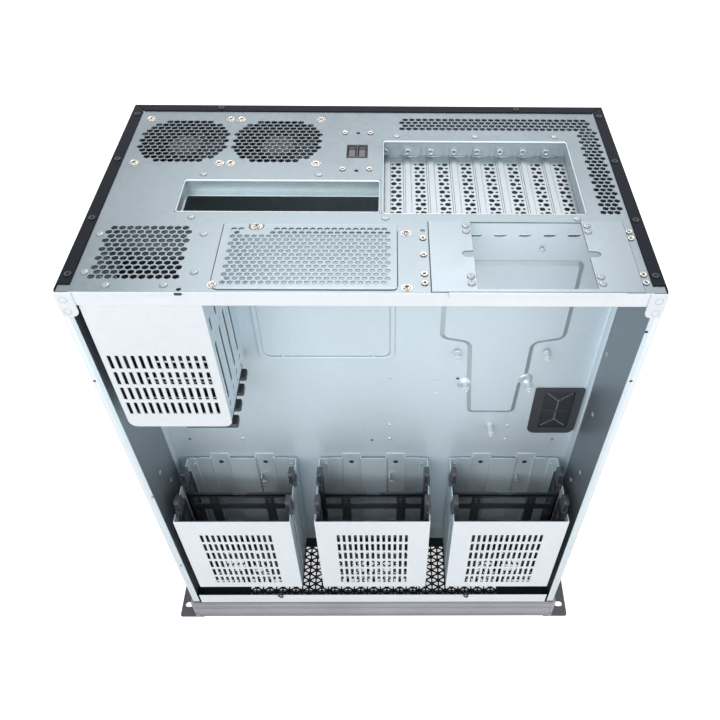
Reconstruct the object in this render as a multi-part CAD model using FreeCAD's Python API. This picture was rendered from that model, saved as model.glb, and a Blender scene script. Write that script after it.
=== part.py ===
# Empty 6U rackmount server case, lying as it stands on its front bezel.
# Axes: X left to right, Y from the open access side (near) to the closed cover
# (far), Z from the front bezel (0) up to the rear panel. All sizes in mm.
# Positions across the height of the case are given as n, the distance from the
# near plane, so Y = n - HIGH / 2. Depths are the distance below the rear face.
import os
import math
import FreeCAD
import Part

# ---- overall ---------------------------------------------------------------
RACK_W = 482.6          # over the rack ears (19 inch)
EAR_REACH = 26.3        # ear beyond the body on each side
HIGH = 260.0            # near plane to far cover
DEEP = 532.0            # floor to the rear flanges of the skins
FRONT_Z = 46.0          # back face of the bezel, front face of the chassis
SKIN = 1.0              # painted outer skins
WALL = 1.0              # zinc-coated inner walls
SHEET = 1.2             # rear panel, tray, front panel
CAGE_T = 1.0            # cages and their far plates
GAP = 0.3               # clearance of a piece that slides or turns
FIT = 0.1               # clearance of sheets that are fixed side by side
BEND = 0.6              # inside radius of a fold
OVER = 1.0              # a cutting shape reaches this much past the metal

HALF = RACK_W / 2.0 - EAR_REACH
WALL_OUT = HALF - SKIN
WALL_IN = WALL_OUT - WALL
FAR_IN = HIGH - SKIN
REAR_TOP = DEEP - SKIN
REAR_IN = REAR_TOP - SHEET
FRONT_IN = FRONT_Z + SHEET
NEAR = SHEET            # near face of the walls, behind the front panel's lip

# ---- lips and flanges --------------------------------------------------------
LIP = 9.0               # near lips of the side walls
FAR_LIP = 11.0
REAR_LIP = 12.5         # near lip of the rear panel
FRONT_LIP = 18.0        # near lip of the front panel
FLANGE = 11.0           # rear flanges of the painted side panels
FLANGE_NEAR = 9.0       # where they start
FAR_FLANGE = 12.0       # rear flange of the far cover
CORNER_T = 1.0
CORNER = (16.0, 22.5)   # corner plate, across and along
CORNER_R = 4.0
RAIL_R = 1.6            # small holes of the inner walls
RAIL_HOLES = [(40.1, 213.0), (56.4, 176.5), (56.1, 286.3), (67.7, 356.1)]   # n, above the front
TUCK = 14.0             # wall flanges stop short of the case's corners

# ---- vents: one six-sided hole stands for several of the real ones -------------
VENT_R = 9.6
FAN_PITCH = 22.0        # also the vent over the small drive cage
STRIP_PITCH = 28.0      # long strip by the far cover and the supply's blank
STRIP_OUT = 26.5        # strip's middle beyond the slots
SIDE_VENT = (18.3, 6.4, 27.0)   # column right of the slots: out from them, hole radius, pitch
CAGE_VENT = (9.0, 12.4, 15.0, 78.0)     # vent over the small cage: margins left and right, then n

# ---- tray, front to back divider ----------------------------------------------
TRAY_N = 87.0
TRAY_FLANGE = 11.0
EMBOSS = 0.8
NECK = 6.0              # grommet flange beyond its neck
GROMMET = (48.8, 69.4)  # grommet, across and along
GROMMET_AT = (2.0, 195.0)   # gap to the right wall, depth of its rear edge
GROMMET_LIP = 2.0
TRAY_END = 0.8          # tray above the front panel
TRAY_SLOTS = (5, 19.6, 12.0, 15.0, 2.4)     # count, pitch, length, depth, width
PIN_R = 1.6
TRAY_HOLES = [(0.2, 279.6), (192.0, 277.8), (-192.5, 278.0), (84.6, 182.2)]     # x, depth
TRAY_SCREWS = [(-80.0, 150.4), (4.0, 150.2), (19.0, 181.2), (63.7, 182.0), (64.4, 205.0), (19.0, 253.2),
               (19.0, 276.8), (141.7, 254.3), (141.5, 277.2), (-136.3, 276.7), (141.5, 27.6)]
STANDOFFS = [(-41.9, 144.8, 8.0), (-31.4, 187.4, 8.0), (-0.7, 253.0, 12.0), (40.9, 144.5, 8.0),
             (29.9, 188.0, 8.0)]      # from the supply's middle, depth, height
POST_R = 3.0
POST_TIP = (1.5, 3.0)   # radius and height
FRAME_RIM = 3.2         # pressed rim under the blank
FRAME_DEEP = (17.0, 156.0)
TEE_SHIFT = -1.9        # pressed panel from the supply's middle
TEE = [(-23.6, 232.0, 4), (23.2, 232.0, 4), (24.6, 188.0, 0), (29.6, 181.0, 0), (29.6, 134.0, 0),
       (57.2, 128.5, 5), (57.2, 40.0, 4), (-57.1, 40.0, 4), (-57.1, 128.0, 5), (-31.0, 133.5, 0),
       (-26.6, 201.0, 0)]      # from its own middle, depth, corner radius

# ---- fans ----------------------------------------------------------------------
FAN = 80.0
FAN_DEEP = 25.0
FAN_WALL = 2.0          # frame outside the bore
FAN_SCREW_IN = 4.25     # screw axis inside the frame edge
FAN_SPACE = 0.9         # between the two frames
FAN_SIDE = 13.3         # first frame from the left wall
FAN_CLEAR = 7.7         # frames from the recess box of the board openings
BLADES = 7
HUB_R = 15.0
ROOT_CHORD = 13.5       # blade at the hub
ROOT_PITCH = math.radians(52.0)
TIP_CHORD = 21.0        # blade at its tip
TIP_PITCH = math.radians(34.0)
TIP_SWEEP = 5.0
TIP_GAP = 1.2           # blade corner to bore
BLADE_T = 0.6
CAMBER = 1.6
FRAME_FLANGE = 4.0      # square flanges of a fan frame
FRAME_CORNER = 12.0     # its open corners
FRAME_HOLE = 2.3
ARM = 3.0
ROTOR_SHORT = 7.0       # rotor shorter than the frame
FAN_X = [-WALL_IN + FAN_SIDE + FAN / 2.0 + k * (FAN + FAN_SPACE) for k in range(2)]
FAN_BORE = FAN / 2.0 - FAN_WALL

# ---- board openings in the rear panel -------------------------------------------
SHIELD = (158.75, 44.45)    # connector shield aperture
SHIELD_X = -68.0
SHIELD_UP = 24.8        # its middle above the tray
SHIELD_DEEP = 12.2      # its seat below the rear face
IO_OPEN = (-148.5, 11.2, TRAY_N + 8.9, TRAY_N + 53.5)
SLOT_COUNT = 8
SLOT_PITCH = 20.32
SLOT_X = 14.4           # first slot screw
SLOT_OPEN = (12.9, 173.5, TRAY_N + 7.0, TRAY_N + 114.5)
SLOT_DEEP = 16.2        # slot shelf below the rear face
SLOT_SCREW = 9.5        # slot screws below the rear face
COVER_T = 0.8
COVER_WIDE = 20.0
COVER_LEFT = 4.0        # cover's left edge from its screw
COVER_SIDE = 0.2        # gap to the sides of the opening
COVER_NEAR = 2.6        # gap to the tray
COVER_RIB = (1.2, 5.2, 0.8, 0.9)    # pressed rib: from the edge, width, slope, height
COVER_RIB_ENDS = (5.0, 8.0)
COVER_VENT = (11.4, 5.6, 7.0, 12.0)     # vent slot: from the edge, width, near and far margins
TAB_HIGH = 11.0
TAB_WIDE = 16.0
BAY_RIM = 8.0           # recess box's rim around its openings
BAY_RIM_FAR = (12.0, 11.0, 1.9)     # rim beyond the shield, beyond the slots, and left of them
SHELF_LIP = 2.0
SCREW_NOTCH = (3.5, 4.0)
FAN_N = IO_OPEN[3] + BAY_RIM_FAR[0] + FAN_CLEAR + FAN / 2.0
SHELF_Z = REAR_TOP - SLOT_DEEP
SHIELD_Z = REAR_TOP - SHIELD_DEEP
BAY_NEAR = TRAY_N + SHEET + 0.2

# ---- sockets, power supply and blank ----------------------------------------------
SOCKET = (17.4, 20.4, 14.0)     # across, over n, deep
SOCKET_X = FAN_X[1] + FAN / 2.0 + 29.8
SOCKET_N = HIGH - 76.0
SOCKET_RIM = (0.4, 5.4, 1.6)    # rim: proud of the panel, tall, thick over n
SOCKET_WEB = 0.85
TONGUE = (0.6, 2.0, 0.6, 5.4)   # tongue: off the middle, thick, below the panel, tall
PSU_W = 150.0           # power supply face
PSU_X = WALL_IN - 89.5
PSU_FAR = TRAY_N - 3.5
PSU_BAY = 42.5          # half of the bracket's window
PSU_RAIL = 13.0         # panel left at each side of the supply's opening
BRACKET_FLOOR = 4.6     # bracket's near strip
BRACKET_ARM = 3.5       # half of a side notch
BRACKET_NOTCH = 8.5     # how far it reaches past the window
BRACKET_LIP = (12.0, 18.0, 4.5, 1.5)    # folded edge: margins left and right, below the panel, corner radius
BLANK = (-107.2, 24.4, 4.0, TRAY_N - 7.3)
BLANK_T = 0.8
BLANK_NOTCH = (19.1, 11.4, 8.0, 4.0)    # notch: from the left, width, depth, corner radius
BLANK_CORNERS = (6.0, 3.0)
BLANK_RIM = (4.0, 3.0, 9.0)     # panel left under the blank: sides, near, far

# ---- front drive cages -----------------------------------------------------------
CAGE_X = {"left": -141.5, "middle": 1.5, "right": 143.6}
CAGE_W = 118.5
CAGE_LIFT = 36.0        # cages above the chassis front
CAGE_HIGH = 142.5
CAGE_NEAR = 2.0 * SHEET + FIT
CAGE_STEP = 4.0         # cage's far wall to the tray
CAGE_FAR = TRAY_N - CAGE_STEP
CAGE_Z0 = FRONT_Z + CAGE_LIFT
CAGE_Z1 = CAGE_Z0 + CAGE_HIGH
COLUMN_IN = 14.0        # columns of the far plate, from the cage middle
COLUMN_OUT = 34.5
COLUMN_UP = 5.5         # columns beyond the cage
SLOT_COLUMNS = 9        # slots of a cage face, each standing for more of the real ones
SLOT_STEP = 8.6
SLOT_WIDE = 4.0
SLOT_LONG = 48.6
SLOT_ROWS = (27.0, 81.9)    # upper ends below the cage edge
LATCH_NOTCH = (-0.5, 18.5)      # latch notch over n, from the sled
SPRING_SLOT = (9.0, 13.0, 18.0, 108.0)  # wall slot over n from the sled, then above the cage's bottom
STOP_LIP = 7.0          # stop lips along the cage's bottom
HOOK = (3.0, 7.0, 4.0, 8.0, 40.5)   # hook: from the column, long, off the far wall, tall, below the cage edge
TAB = (3.0, 10.5, 2.6)  # column tab below the cage edge, its hole below the edge, hole radius
SLED_FIRST = 9.5        # first sled from the cage's near face
SLED_PITCH = 35.0
SLED_HIGH = 26.0
SLED_T = 1.6
RAIL_T = 2.7
SLED_SHORT = 15.5       # plate below the cage edge
LATCH = (25.4, 16.0)    # latch along the sled and across it
LATCH_OUT = 1.6
LEG_X = 30.0
SLED_BAR = 5.0          # half of a bar between the sled's windows
SLED_EDGE = 6.0         # plate left beside the rails
SLED_ROWS = ((9.0, 44.7), (54.7, 94.7), (104.7, 118.8))     # windows above the sled's bottom
THUMB = (8.0, 2.5)      # thumb notch, half width and depth
GRIP_IN = 1.0           # latch inside the sled's near face
GRIP_EASE = 6.0         # its cut corner
LATCH_RISE = 0.8        # latch above the middle of its notch
SPRING = (4, 32.0, 9.0, 6.0, 19.0, 1.6, 0.9)    # turns, below the latch, step, n from and to, wide, thick
SLED_N = {"near": CAGE_NEAR + CAGE_T + SLED_FIRST, "far": CAGE_NEAR + CAGE_T + SLED_FIRST + SLED_PITCH}

# ---- small drive cage at the rear --------------------------------------------------
RC_SIDE = 11.0          # from the left wall
RC_W = 87.4
RC_LONG = 149.8
SSD_PITCH = 18.3
SSD_HIGH = 14.5
SSD_LONG = 120.0
SSD_FIRST = 1.5         # first small tray from the cage's near face
SSD_STOP = 3.0          # stop plate beyond the small drives
SSD_WINDOW = (12.0, 18.0, 16.0)     # margins at the sides, low and high
PULL = (8.0, 4.1)       # pull below its tray and beyond the cage
PULL_WALL = 3.0
PULL_IN = (2.0, 8.0)    # pull inside the tray's side, its hollow inside the tray
RC_CORNER = (7.0, 6.0)  # rounded corners of the face and of the walls
RC_FOOT = (8.0, 16.0)   # foot beyond the wall, foot above the cage's bottom
RC_SLOTS = (16.6, 86.0)     # face slots above the bottom
RC_WALL_SLOTS = ((22.0, 90.0), (104.0, 118.0))
RC_SLOT = 3.2
RC_X = (-WALL_IN + RC_SIDE, -WALL_IN + RC_SIDE + RC_W)
RC_Z0 = REAR_IN - RC_LONG
SSD_N = [CAGE_NEAR + CAGE_T + SSD_FIRST + SSD_PITCH * k for k in range(4)]

# ---- bezel and ears ------------------------------------------------------------------
BEZEL_PROUD = 2.2       # bezel beyond the body
BEZEL_SET = 2.8         # bezel inside the near and far planes
BEZEL_WALL = 14.0
GROOVES = (14.0, 30.0)
GROOVE = (1.6, 0.8)     # wide, deep
EAR_T = 2.0
EAR_LEG = 4.0
EAR_LAP = 6.0           # ear under the bezel
HOLE_IN = 8.75          # rack slot inside the ear edge
HOLE_N = 222.25         # between the slots of one ear
EAR_SLOT = (10.3, 7.0)
EAR_EASE = 1.2          # cut corners of an ear
LEG_SHORT = 8.0         # leg ends before the chassis front
TONGUE_OUT = 1.5        # stepped tongue on the body
TONGUE_LONG = 30.0
TONGUE_IN = 20.0

# ---- chassis front and intake screen ----------------------------------------------
WINDOW_SIDE = 10.0      # metal left at the sides
WINDOW_OUTER = 50.0     # outermost near windows
WINDOW_BAR = 3.0
WINDOW_NEAR = 6.0
WINDOW_CAGE = 8.0       # windows end before the cages' far wall
WINDOW_TRAY = 3.8       # and start beyond the tray
MESH_IN = (7.0, 4.0, 6.0)   # screen inside the walls, the near plane and the far plane
MESH_NEAR = (16.0, 22.0, 47.0)      # near field: from the near plane, hole radius, pitch
MESH_FAR = (4.0, 34.0, 74.0)        # far field: from the tray, hole radius, pitch
MESH_HOOK = (109.6, 4.0, 1.8, 2.0)  # off the middle, wide, thick, above the lip

# ---- heads of the fasteners: radius and height -----------------------------------
FAN_HEAD = (3.4, 1.2)
FLANGE_HEAD = (2.8, 0.9)
RIVET_HEAD = (3.0, 1.0)
SCREW_HEAD = (2.6, 1.1)
BLANK_HEAD = (4.0, 1.6)
STUD_HEAD = (3.0, 1.6)
CORNER_HEAD = 2.8
SLOT_HEAD = (3.0, 1.8)
TRAY_HEAD = (2.2, 1.0)
FLANGE_SCREWS = (19.0, 85.5, 168.0)     # n of the side flanges' near screws
FLANGE_LAST = 17.5      # last one from the far cover
FLANGE_IN = 4.5         # inside the body's side
COVER_SCREWS = (135.0, 5.5)     # off the middle, from the far cover
SOCKET_SCREWS = [(-11.5, 29.6), (10.8, 29.4), (-11.4, -28.0), (10.9, -28.0)]     # from the sockets
PSU_SCREWS_OUT = (4.5, 2.8)     # left and right of the supply's face
PSU_SCREWS_LEFT = (63.2, 43.5, 21.3, 11.5)
PSU_SCREWS_RIGHT = (72.0, 63.7, 21.4, 12.6)
BLANK_SCREWS = (24.8, 2.5, 6.9, 10.1)   # from its left, inside its edges, right of it, from its far edge
STUDS_OUT = 4.0         # studs beside the bracket's window
STUDS_NEAR = (10.2, 17.6)
STUDS_FAR = (13.0, 6.0)
CORNER_IN = 5.0         # rivets of a corner plate
CORNER_DEEP = (17.6, 6.7)
RIVETS_IO = [(14.0, 7.5), (108.9, 7.5), (14.2, -49.2)]      # from the shield opening's far left corner
RIVETS_SLOTS = [(12.1, 7.5), (81.1, 7.0), (151.1, 7.5)]     # beyond the slots, from their left end
RIVETS_NEAR = [(2.8, 5.5), (151.8, 5.5)]    # between the slots and the tray
RIVETS_CAGE = [(3.0, 67.0), (80.7, 67.5), (3.2, 22.7), (81.0, 23.0), (21.5, 8.6), (62.0, 8.8)]
BEZEL_HALF = HALF + BEZEL_PROUD


def vec(x, n, z):
    return FreeCAD.Vector(x, n - HIGH / 2.0, z)


def block(x0, x1, n0, n1, z0, z1):
    return Part.makeBox(abs(x1 - x0), n1 - n0, z1 - z0, vec(min(x0, x1), n0, z0))


def join(first, *others):
    return first.fuse(list(others)).removeSplitter() if others else first


def mirrored(shape):
    return shape.mirror(FreeCAD.Vector(0, 0, 0), FreeCAD.Vector(1, 0, 0))


# ---- flat outlines, drawn in a plane with coordinates a and b ---------------
def loop(points):
    corners = [FreeCAD.Vector(a, b, 0) for a, b in points]
    return Part.makePolygon(corners + [corners[0]])


def rounded(points, radii):
    """Closed outline with each corner rounded by its own radius."""
    count = len(points)
    arcs = {}
    ends = []
    for i in range(count):
        here = FreeCAD.Vector(points[i][0], points[i][1], 0)
        before = FreeCAD.Vector(points[i - 1][0], points[i - 1][1], 0)
        after = FreeCAD.Vector(points[(i + 1) % count][0], points[(i + 1) % count][1], 0)
        radius = radii[i] if isinstance(radii, (list, tuple)) else radii
        back = (before - here).normalize()
        onward = (after - here).normalize()
        half = back.getAngle(onward) / 2.0
        if radius < 0.01 or half > 1.56:
            ends.append((here, here))
            continue
        start = here + back * (radius / math.tan(half))
        finish = here + onward * (radius / math.tan(half))
        centre = here + (back + onward).normalize() * (radius / math.sin(half))
        middle = centre + (here - centre).normalize() * radius
        arcs[i] = Part.Arc(start, middle, finish).toShape()
        ends.append((start, finish))
    path = []
    for i in range(count):
        if i in arcs:
            path.append(arcs[i])
        leave = ends[i][1]
        arrive = ends[(i + 1) % count][0]
        if leave.distanceToPoint(arrive) > 1e-6:
            path.append(Part.makeLine(leave, arrive))
    return Part.Wire(path)


def rect(a0, a1, b0, b1, radius=0.0):
    points = [(a0, b0), (a1, b0), (a1, b1), (a0, b1)]
    return rounded(points, radius) if radius else loop(points)


def polygon(a, b, radius, sides=6, turn=0.0):
    points = []
    for k in range(sides):
        angle = math.radians(turn + 360.0 * k / sides)
        points.append((a + radius * math.cos(angle), b + radius * math.sin(angle)))
    return loop(points)


def vent(a0, a1, b0, b1, pitch, radius, keep=None):
    """Staggered six-sided holes that fill a field; one hole stands for several real ones."""
    row_step = pitch * math.sqrt(0.75)
    rows = max(1, int((b1 - b0 - 2.0 * radius) / row_step + 1.001))
    columns = max(1, int((a1 - a0 - 2.0 * radius) / pitch + 1.001))
    middle_a = (a0 + a1) / 2.0
    middle_b = (b0 + b1) / 2.0
    holes = []
    for row in range(rows):
        short = row % 2 if columns > 1 else 0
        for column in range(columns - short):
            a = middle_a + pitch * (column - (columns - 1 - short) / 2.0)
            b = middle_b + row_step * (row - (rows - 1) / 2.0)
            if keep is None or keep(a, b):
                holes.append(polygon(a, b, radius, 6, 30.0))
    return holes


def sheet(side, start, thick, outline, holes=()):
    """Flat plate; side is the axis it faces: x draws (n, z), n draws (x, z), z draws (x, n)."""
    face = Part.makeFace([outline] + list(holes), "Part::FaceMakerBullseye")
    solid = face.extrude(FreeCAD.Vector(0, 0, thick))
    if side == "z":
        base = FreeCAD.Vector(0, -HIGH / 2.0, start)
        turn = FreeCAD.Rotation()
    elif side == "n":
        base = FreeCAD.Vector(0, start + thick - HIGH / 2.0, 0)
        turn = FreeCAD.Rotation(FreeCAD.Vector(1, 0, 0), 90)
    else:
        base = FreeCAD.Vector(start, -HIGH / 2.0, 0)
        turn = FreeCAD.Rotation(FreeCAD.Vector(1, 1, 1), 120)
    solid.Placement = FreeCAD.Placement(base, turn)
    return solid


def folded(path, thick, bend):
    """Outline of a bent sheet: one face follows path, the metal lies to its left."""
    count = len(path)
    ways = []
    for i in range(count - 1):
        da = path[i + 1][0] - path[i][0]
        db = path[i + 1][1] - path[i][1]
        size = math.hypot(da, db)
        ways.append((da / size, db / size))
    other = []
    near_r = []
    far_r = []
    for i in range(count):
        w0 = ways[max(i - 1, 0)]
        w1 = ways[min(i, count - 2)]
        n0 = (-w0[1], w0[0])
        n1 = (-w1[1], w1[0])
        scale = thick / (1.0 + n0[0] * n1[0] + n0[1] * n1[1])
        other.append((path[i][0] + (n0[0] + n1[0]) * scale, path[i][1] + (n0[1] + n1[1]) * scale))
        cross = w0[0] * w1[1] - w0[1] * w1[0]
        if i in (0, count - 1) or abs(cross) < 1e-6 or bend == 0:
            near_r.append(0.0)
            far_r.append(0.0)
        elif cross > 0:
            near_r.append(bend + thick)
            far_r.append(bend)
        else:
            near_r.append(bend)
            far_r.append(bend + thick)
    return rounded(list(path) + other[::-1], near_r + far_r[::-1])


def save(name, *shapes):
    shape = shapes[0] if len(shapes) == 1 else Part.makeCompound(list(shapes))
    shape.exportStep("parts/" + name + ".step")


# ---- outer skins -----------------------------------------------------------
def rail_holes():
    return [polygon(n, FRONT_Z + up, RAIL_R) for n, up in RAIL_HOLES]


def side_panel():
    """Right-hand painted skin, folded over the rear edge and mitred at the far cover."""
    far = FAR_IN - FIT
    path = [(HALF, FRONT_Z), (HALF, DEEP), (HALF - FLANGE, DEEP)]
    skin = sheet("n", NEAR, far - NEAR, folded(path, SKIN, BEND))
    tip = HALF - FLANGE
    ease = HALF - SKIN - BEND
    corner = loop([(tip - OVER, far - FLANGE - OVER), (HALF + OVER, far + OVER), (tip - OVER, far + OVER)])
    mitre = sheet("z", REAR_TOP - BEND, SKIN + BEND + OVER, corner)
    cuts = [block(tip - OVER, ease, 0.0, FLANGE_NEAR, REAR_TOP - OVER, DEEP + OVER),
            mitre.common(block(tip - OVER, HALF - SKIN, 0.0, HIGH, 0.0, DEEP + OVER))]
    return skin.cut(cuts)


def top_cover():
    """Far cover, folded over the rear edge between the two side panels' mitres."""
    path = [(HIGH, FRONT_Z), (HIGH, DEEP), (HIGH - FAR_FLANGE, DEEP)]
    cover = sheet("x", -HALF, 2.0 * HALF, folded(path, SKIN, BEND))
    reach = FAR_FLANGE + OVER
    wedge = loop([(HALF + OVER, HIGH - reach), (HALF - reach - OVER - GAP, HIGH - reach),
                  (HALF + FIT - GAP - SKIN, FAR_IN), (HALF + OVER, FAR_IN)])
    corner = sheet("z", REAR_TOP - BEND - OVER, SKIN + BEND + 2.0 * OVER, wedge)
    return cover.cut([corner, mirrored(corner)])


# ---- inner walls -----------------------------------------------------------
def side_wall():
    """Right-hand inner wall: near lip, far lip and a flange behind the rear panel."""
    section = [(HALF - LIP, NEAR), (WALL_OUT, NEAR), (WALL_OUT, FAR_IN), (WALL_OUT - FAR_LIP, FAR_IN)]
    wall = sheet("z", FRONT_IN, REAR_IN - FRONT_IN, folded(section, WALL, BEND))
    flange = block(WALL_IN - LIP, WALL_IN + WALL / 2.0, TUCK, FAR_IN - TUCK, REAR_IN - WALL, REAR_IN)
    drills = [sheet("x", WALL_IN - OVER, WALL + 2.0 * OVER, hole) for hole in rail_holes()]
    return join(wall, flange).cut(drills)


def corner_plate():
    """Right-hand corner plate over the lips of the rear panel and the side wall."""
    wide, tall = CORNER
    outline = rounded([(HALF - wide, REAR_TOP - tall), (HALF, REAR_TOP - tall),
                       (HALF, REAR_TOP), (HALF - wide, REAR_TOP)], [CORNER_R, 0, 0, 0])
    return sheet("n", NEAR - CORNER_T, CORNER_T, outline)


# ---- rear panel ------------------------------------------------------------
def fan_screw_points():
    reach = FAN / 2.0 - FAN_SCREW_IN
    return [(x + i * reach, FAN_N + j * reach) for x in FAN_X for i in (-1, 1) for j in (-1, 1)]


def rear_panel():
    """Rear panel: fan grilles, vents and openings, with its near edge folded down."""
    half = WALL_OUT - BEND
    holes = []
    for x in FAN_X:
        grille = FAN_BORE - FAN_WALL / 2.0
        holes += vent(x - grille, x + grille, FAN_N - grille, FAN_N + grille, FAN_PITCH, VENT_R,
                      lambda a, b: math.hypot(a - x, b - FAN_N) + VENT_R < grille)
    holes += [rect(*IO_OPEN), rect(*SLOT_OPEN)]
    wide, over, _ = SOCKET
    holes.append(rect(SOCKET_X - wide / 2.0 - GAP, SOCKET_X + wide / 2.0 + GAP,
                      SOCKET_N - over / 2.0 - GAP, SOCKET_N + over / 2.0 + GAP))
    strip_n = SLOT_OPEN[3] + STRIP_OUT
    out, radius, pitch = SIDE_VENT
    side_x = SLOT_OPEN[1] + out
    r = VENT_R
    holes += vent(SLOT_OPEN[0] + r, side_x + r, strip_n - r, strip_n + r, STRIP_PITCH, r)
    holes += vent(side_x - radius, side_x + radius, SLOT_OPEN[2], SLOT_OPEN[3] + radius, pitch, radius)
    left, right, low, high = CAGE_VENT
    holes += vent(RC_X[0] + left, RC_X[1] - right, low, high, FAN_PITCH, VENT_R)
    x0, x1, n0, n1 = BLANK
    side, near, far = BLANK_RIM
    holes.append(rect(x0 + side, x1 - side, n0 + near, n1 - far))
    bay = PSU_W / 2.0 - PSU_RAIL
    holes.append(rect(PSU_X - bay, PSU_X + bay, n0, PSU_FAR + FIT))
    plate = sheet("z", REAR_IN, SHEET, rect(-half, half, NEAR, FAR_IN - BEND), holes)
    reach = HALF - LIP - FIT - GAP
    turn = NEAR + SHEET + BEND
    lip = folded([(turn, REAR_TOP), (NEAR, REAR_TOP), (NEAR, REAR_TOP - REAR_LIP)], SHEET, BEND)
    trimmed = plate.cut(block(-reach, reach, 0.0, turn, REAR_IN - OVER, REAR_TOP + OVER))
    return join(trimmed, sheet("x", -reach, 2.0 * reach, lip))


def io_slot_bay():
    """Recess box riveted behind the rear panel: shield seat and slot shelf."""
    t = SHEET
    rim_z = REAR_IN - t
    left, right, near, far = SLOT_OPEN
    io_l, io_r, _, io_f = IO_OPEN
    beyond_io, beyond_slots, beside = BAY_RIM_FAR
    start = left - BAY_RIM - beside
    x0, x1 = io_l - BAY_RIM, right + BAY_RIM
    outline = loop([(x0, BAY_NEAR), (x1, BAY_NEAR), (x1, far + beyond_slots), (start, far + beyond_slots),
                    (start, io_f + beyond_io), (x0, io_f + beyond_io)])
    rim = sheet("z", rim_z, t, outline, [rect(*IO_OPEN), rect(*SLOT_OPEN)])
    across, over = SHIELD[0] / 2.0, SHIELD[1] / 2.0
    middle = TRAY_N + SHIELD_UP
    aperture = rect(SHIELD_X - across, SHIELD_X + across, middle - over, middle + over, 1.0)
    seat = sheet("z", SHIELD_Z, t, rect(io_l - t, io_r + t, BAY_NEAR, io_f + t), [aperture])
    shelf = sheet("z", SHELF_Z, t, rect(left - t, right + t, BAY_NEAR, far + t),
                  [rect(left + t, right - COVER_SIDE, near + SHELF_LIP, far - COVER_SIDE)])
    io_walls = folded([(io_l, BAY_NEAR), (io_l, io_f), (io_r, io_f), (io_r, BAY_NEAR)], t, 0.0)
    slot_walls = folded([(left, BAY_NEAR), (left, far), (right, far), (right, BAY_NEAR)], t, 0.0)
    box = join(rim, seat, shelf, sheet("z", SHIELD_Z, rim_z - SHIELD_Z, io_walls),
               sheet("z", SHELF_Z, rim_z - SHELF_Z, slot_walls),
               block(io_l - t, right + t, BAY_NEAR, BAY_NEAR + t, SHIELD_Z, rim_z))
    notch, over = SCREW_NOTCH
    screw_z = REAR_TOP - SLOT_SCREW
    return box.cut(block(left - t - OVER, left, far - over, far, screw_z - notch, screw_z + notch))


def slot_cover(index):
    """Expansion slot cover: blade with a pressed rib, a vent slot and a bent tab."""
    x0 = SLOT_X + index * SLOT_PITCH - COVER_LEFT
    left = max(x0, SLOT_OPEN[0] + COVER_SIDE)
    right = min(x0 + COVER_WIDE, SLOT_OPEN[1] - COVER_SIDE)
    low = SHELF_Z + SHEET
    face = low + COVER_T
    near = BAY_NEAR + COVER_NEAR
    far = SLOT_OPEN[3] - FIT / 2.0
    at, wide, margin_near, margin_far = COVER_VENT
    strip = rect(x0 + at, x0 + at + wide, near + margin_near, far - margin_far)
    blade = sheet("z", low, COVER_T, rect(left, right, near, far - COVER_T), [strip])
    at, wide, slope, rise = COVER_RIB
    first = left + at
    last = first + wide
    rib = loop([(first, face), (last, face), (last - slope, face + rise), (first + slope, face + rise)])
    start, stop = COVER_RIB_ENDS
    rib_long = far - stop - near - start
    tab = block(left, min(left + TAB_WIDE, right), far - COVER_T, far, low, low + TAB_HIGH)
    return join(blade, sheet("n", near + start, rib_long, rib), tab)


def psu_blank():
    """Perforated blank for a second supply, notched round its far screw."""
    x0, x1, n0, n1 = BLANK
    a, wide, deep, soft = BLANK_NOTCH
    b = a + wide
    outline = rounded([(x0, n0), (x1, n0), (x1, n1), (x0 + b, n1), (x0 + b, n1 - deep),
                       (x0 + a, n1 - deep), (x0 + a, n1), (x0, n1)], [*BLANK_CORNERS, 0, 0, soft, soft, 0, 0])
    side, near, far = BLANK_RIM
    holes = vent(x0 + side, x1 - side, n0 + near, n1 - far, STRIP_PITCH, VENT_R)
    return sheet("z", REAR_TOP, BLANK_T, outline, holes)


def psu_bracket():
    """Power supply adapter: a U of sheet with side notches and a near edge folded down."""
    half = PSU_W / 2.0
    floor = BRACKET_FLOOR
    waist = (PSU_FAR + floor) / 2.0
    arm = BRACKET_ARM
    deep = PSU_BAY + BRACKET_NOTCH
    points = [(-half, NEAR), (half, NEAR), (half, PSU_FAR), (PSU_BAY, PSU_FAR),
              (PSU_BAY, waist + arm), (deep, waist + arm), (deep, waist - arm), (PSU_BAY, waist - arm),
              (PSU_BAY, floor), (-PSU_BAY, floor),
              (-PSU_BAY, waist - arm), (-deep, waist - arm), (-deep, waist + arm), (-PSU_BAY, waist + arm),
              (-PSU_BAY, PSU_FAR), (-half, PSU_FAR)]
    soft = arm - 0.01
    radii = [0, 0, 0, 0, 0, soft, soft, 0, 0, 0, 0, soft, soft, 0, 0, 0]
    plate = sheet("z", REAR_TOP, SHEET, rounded([(PSU_X + a, b) for a, b in points], radii))
    left, right, drop, curve = BRACKET_LIP
    top = REAR_TOP + SHEET
    low = REAR_TOP - drop
    flange = rounded([(PSU_X - half + left, top), (PSU_X + half - left, top), (PSU_X + half - right, low),
                      (PSU_X - half + left, low)], [0, 0, curve, curve])
    return join(plate, sheet("n", 0.0, NEAR, flange))


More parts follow.
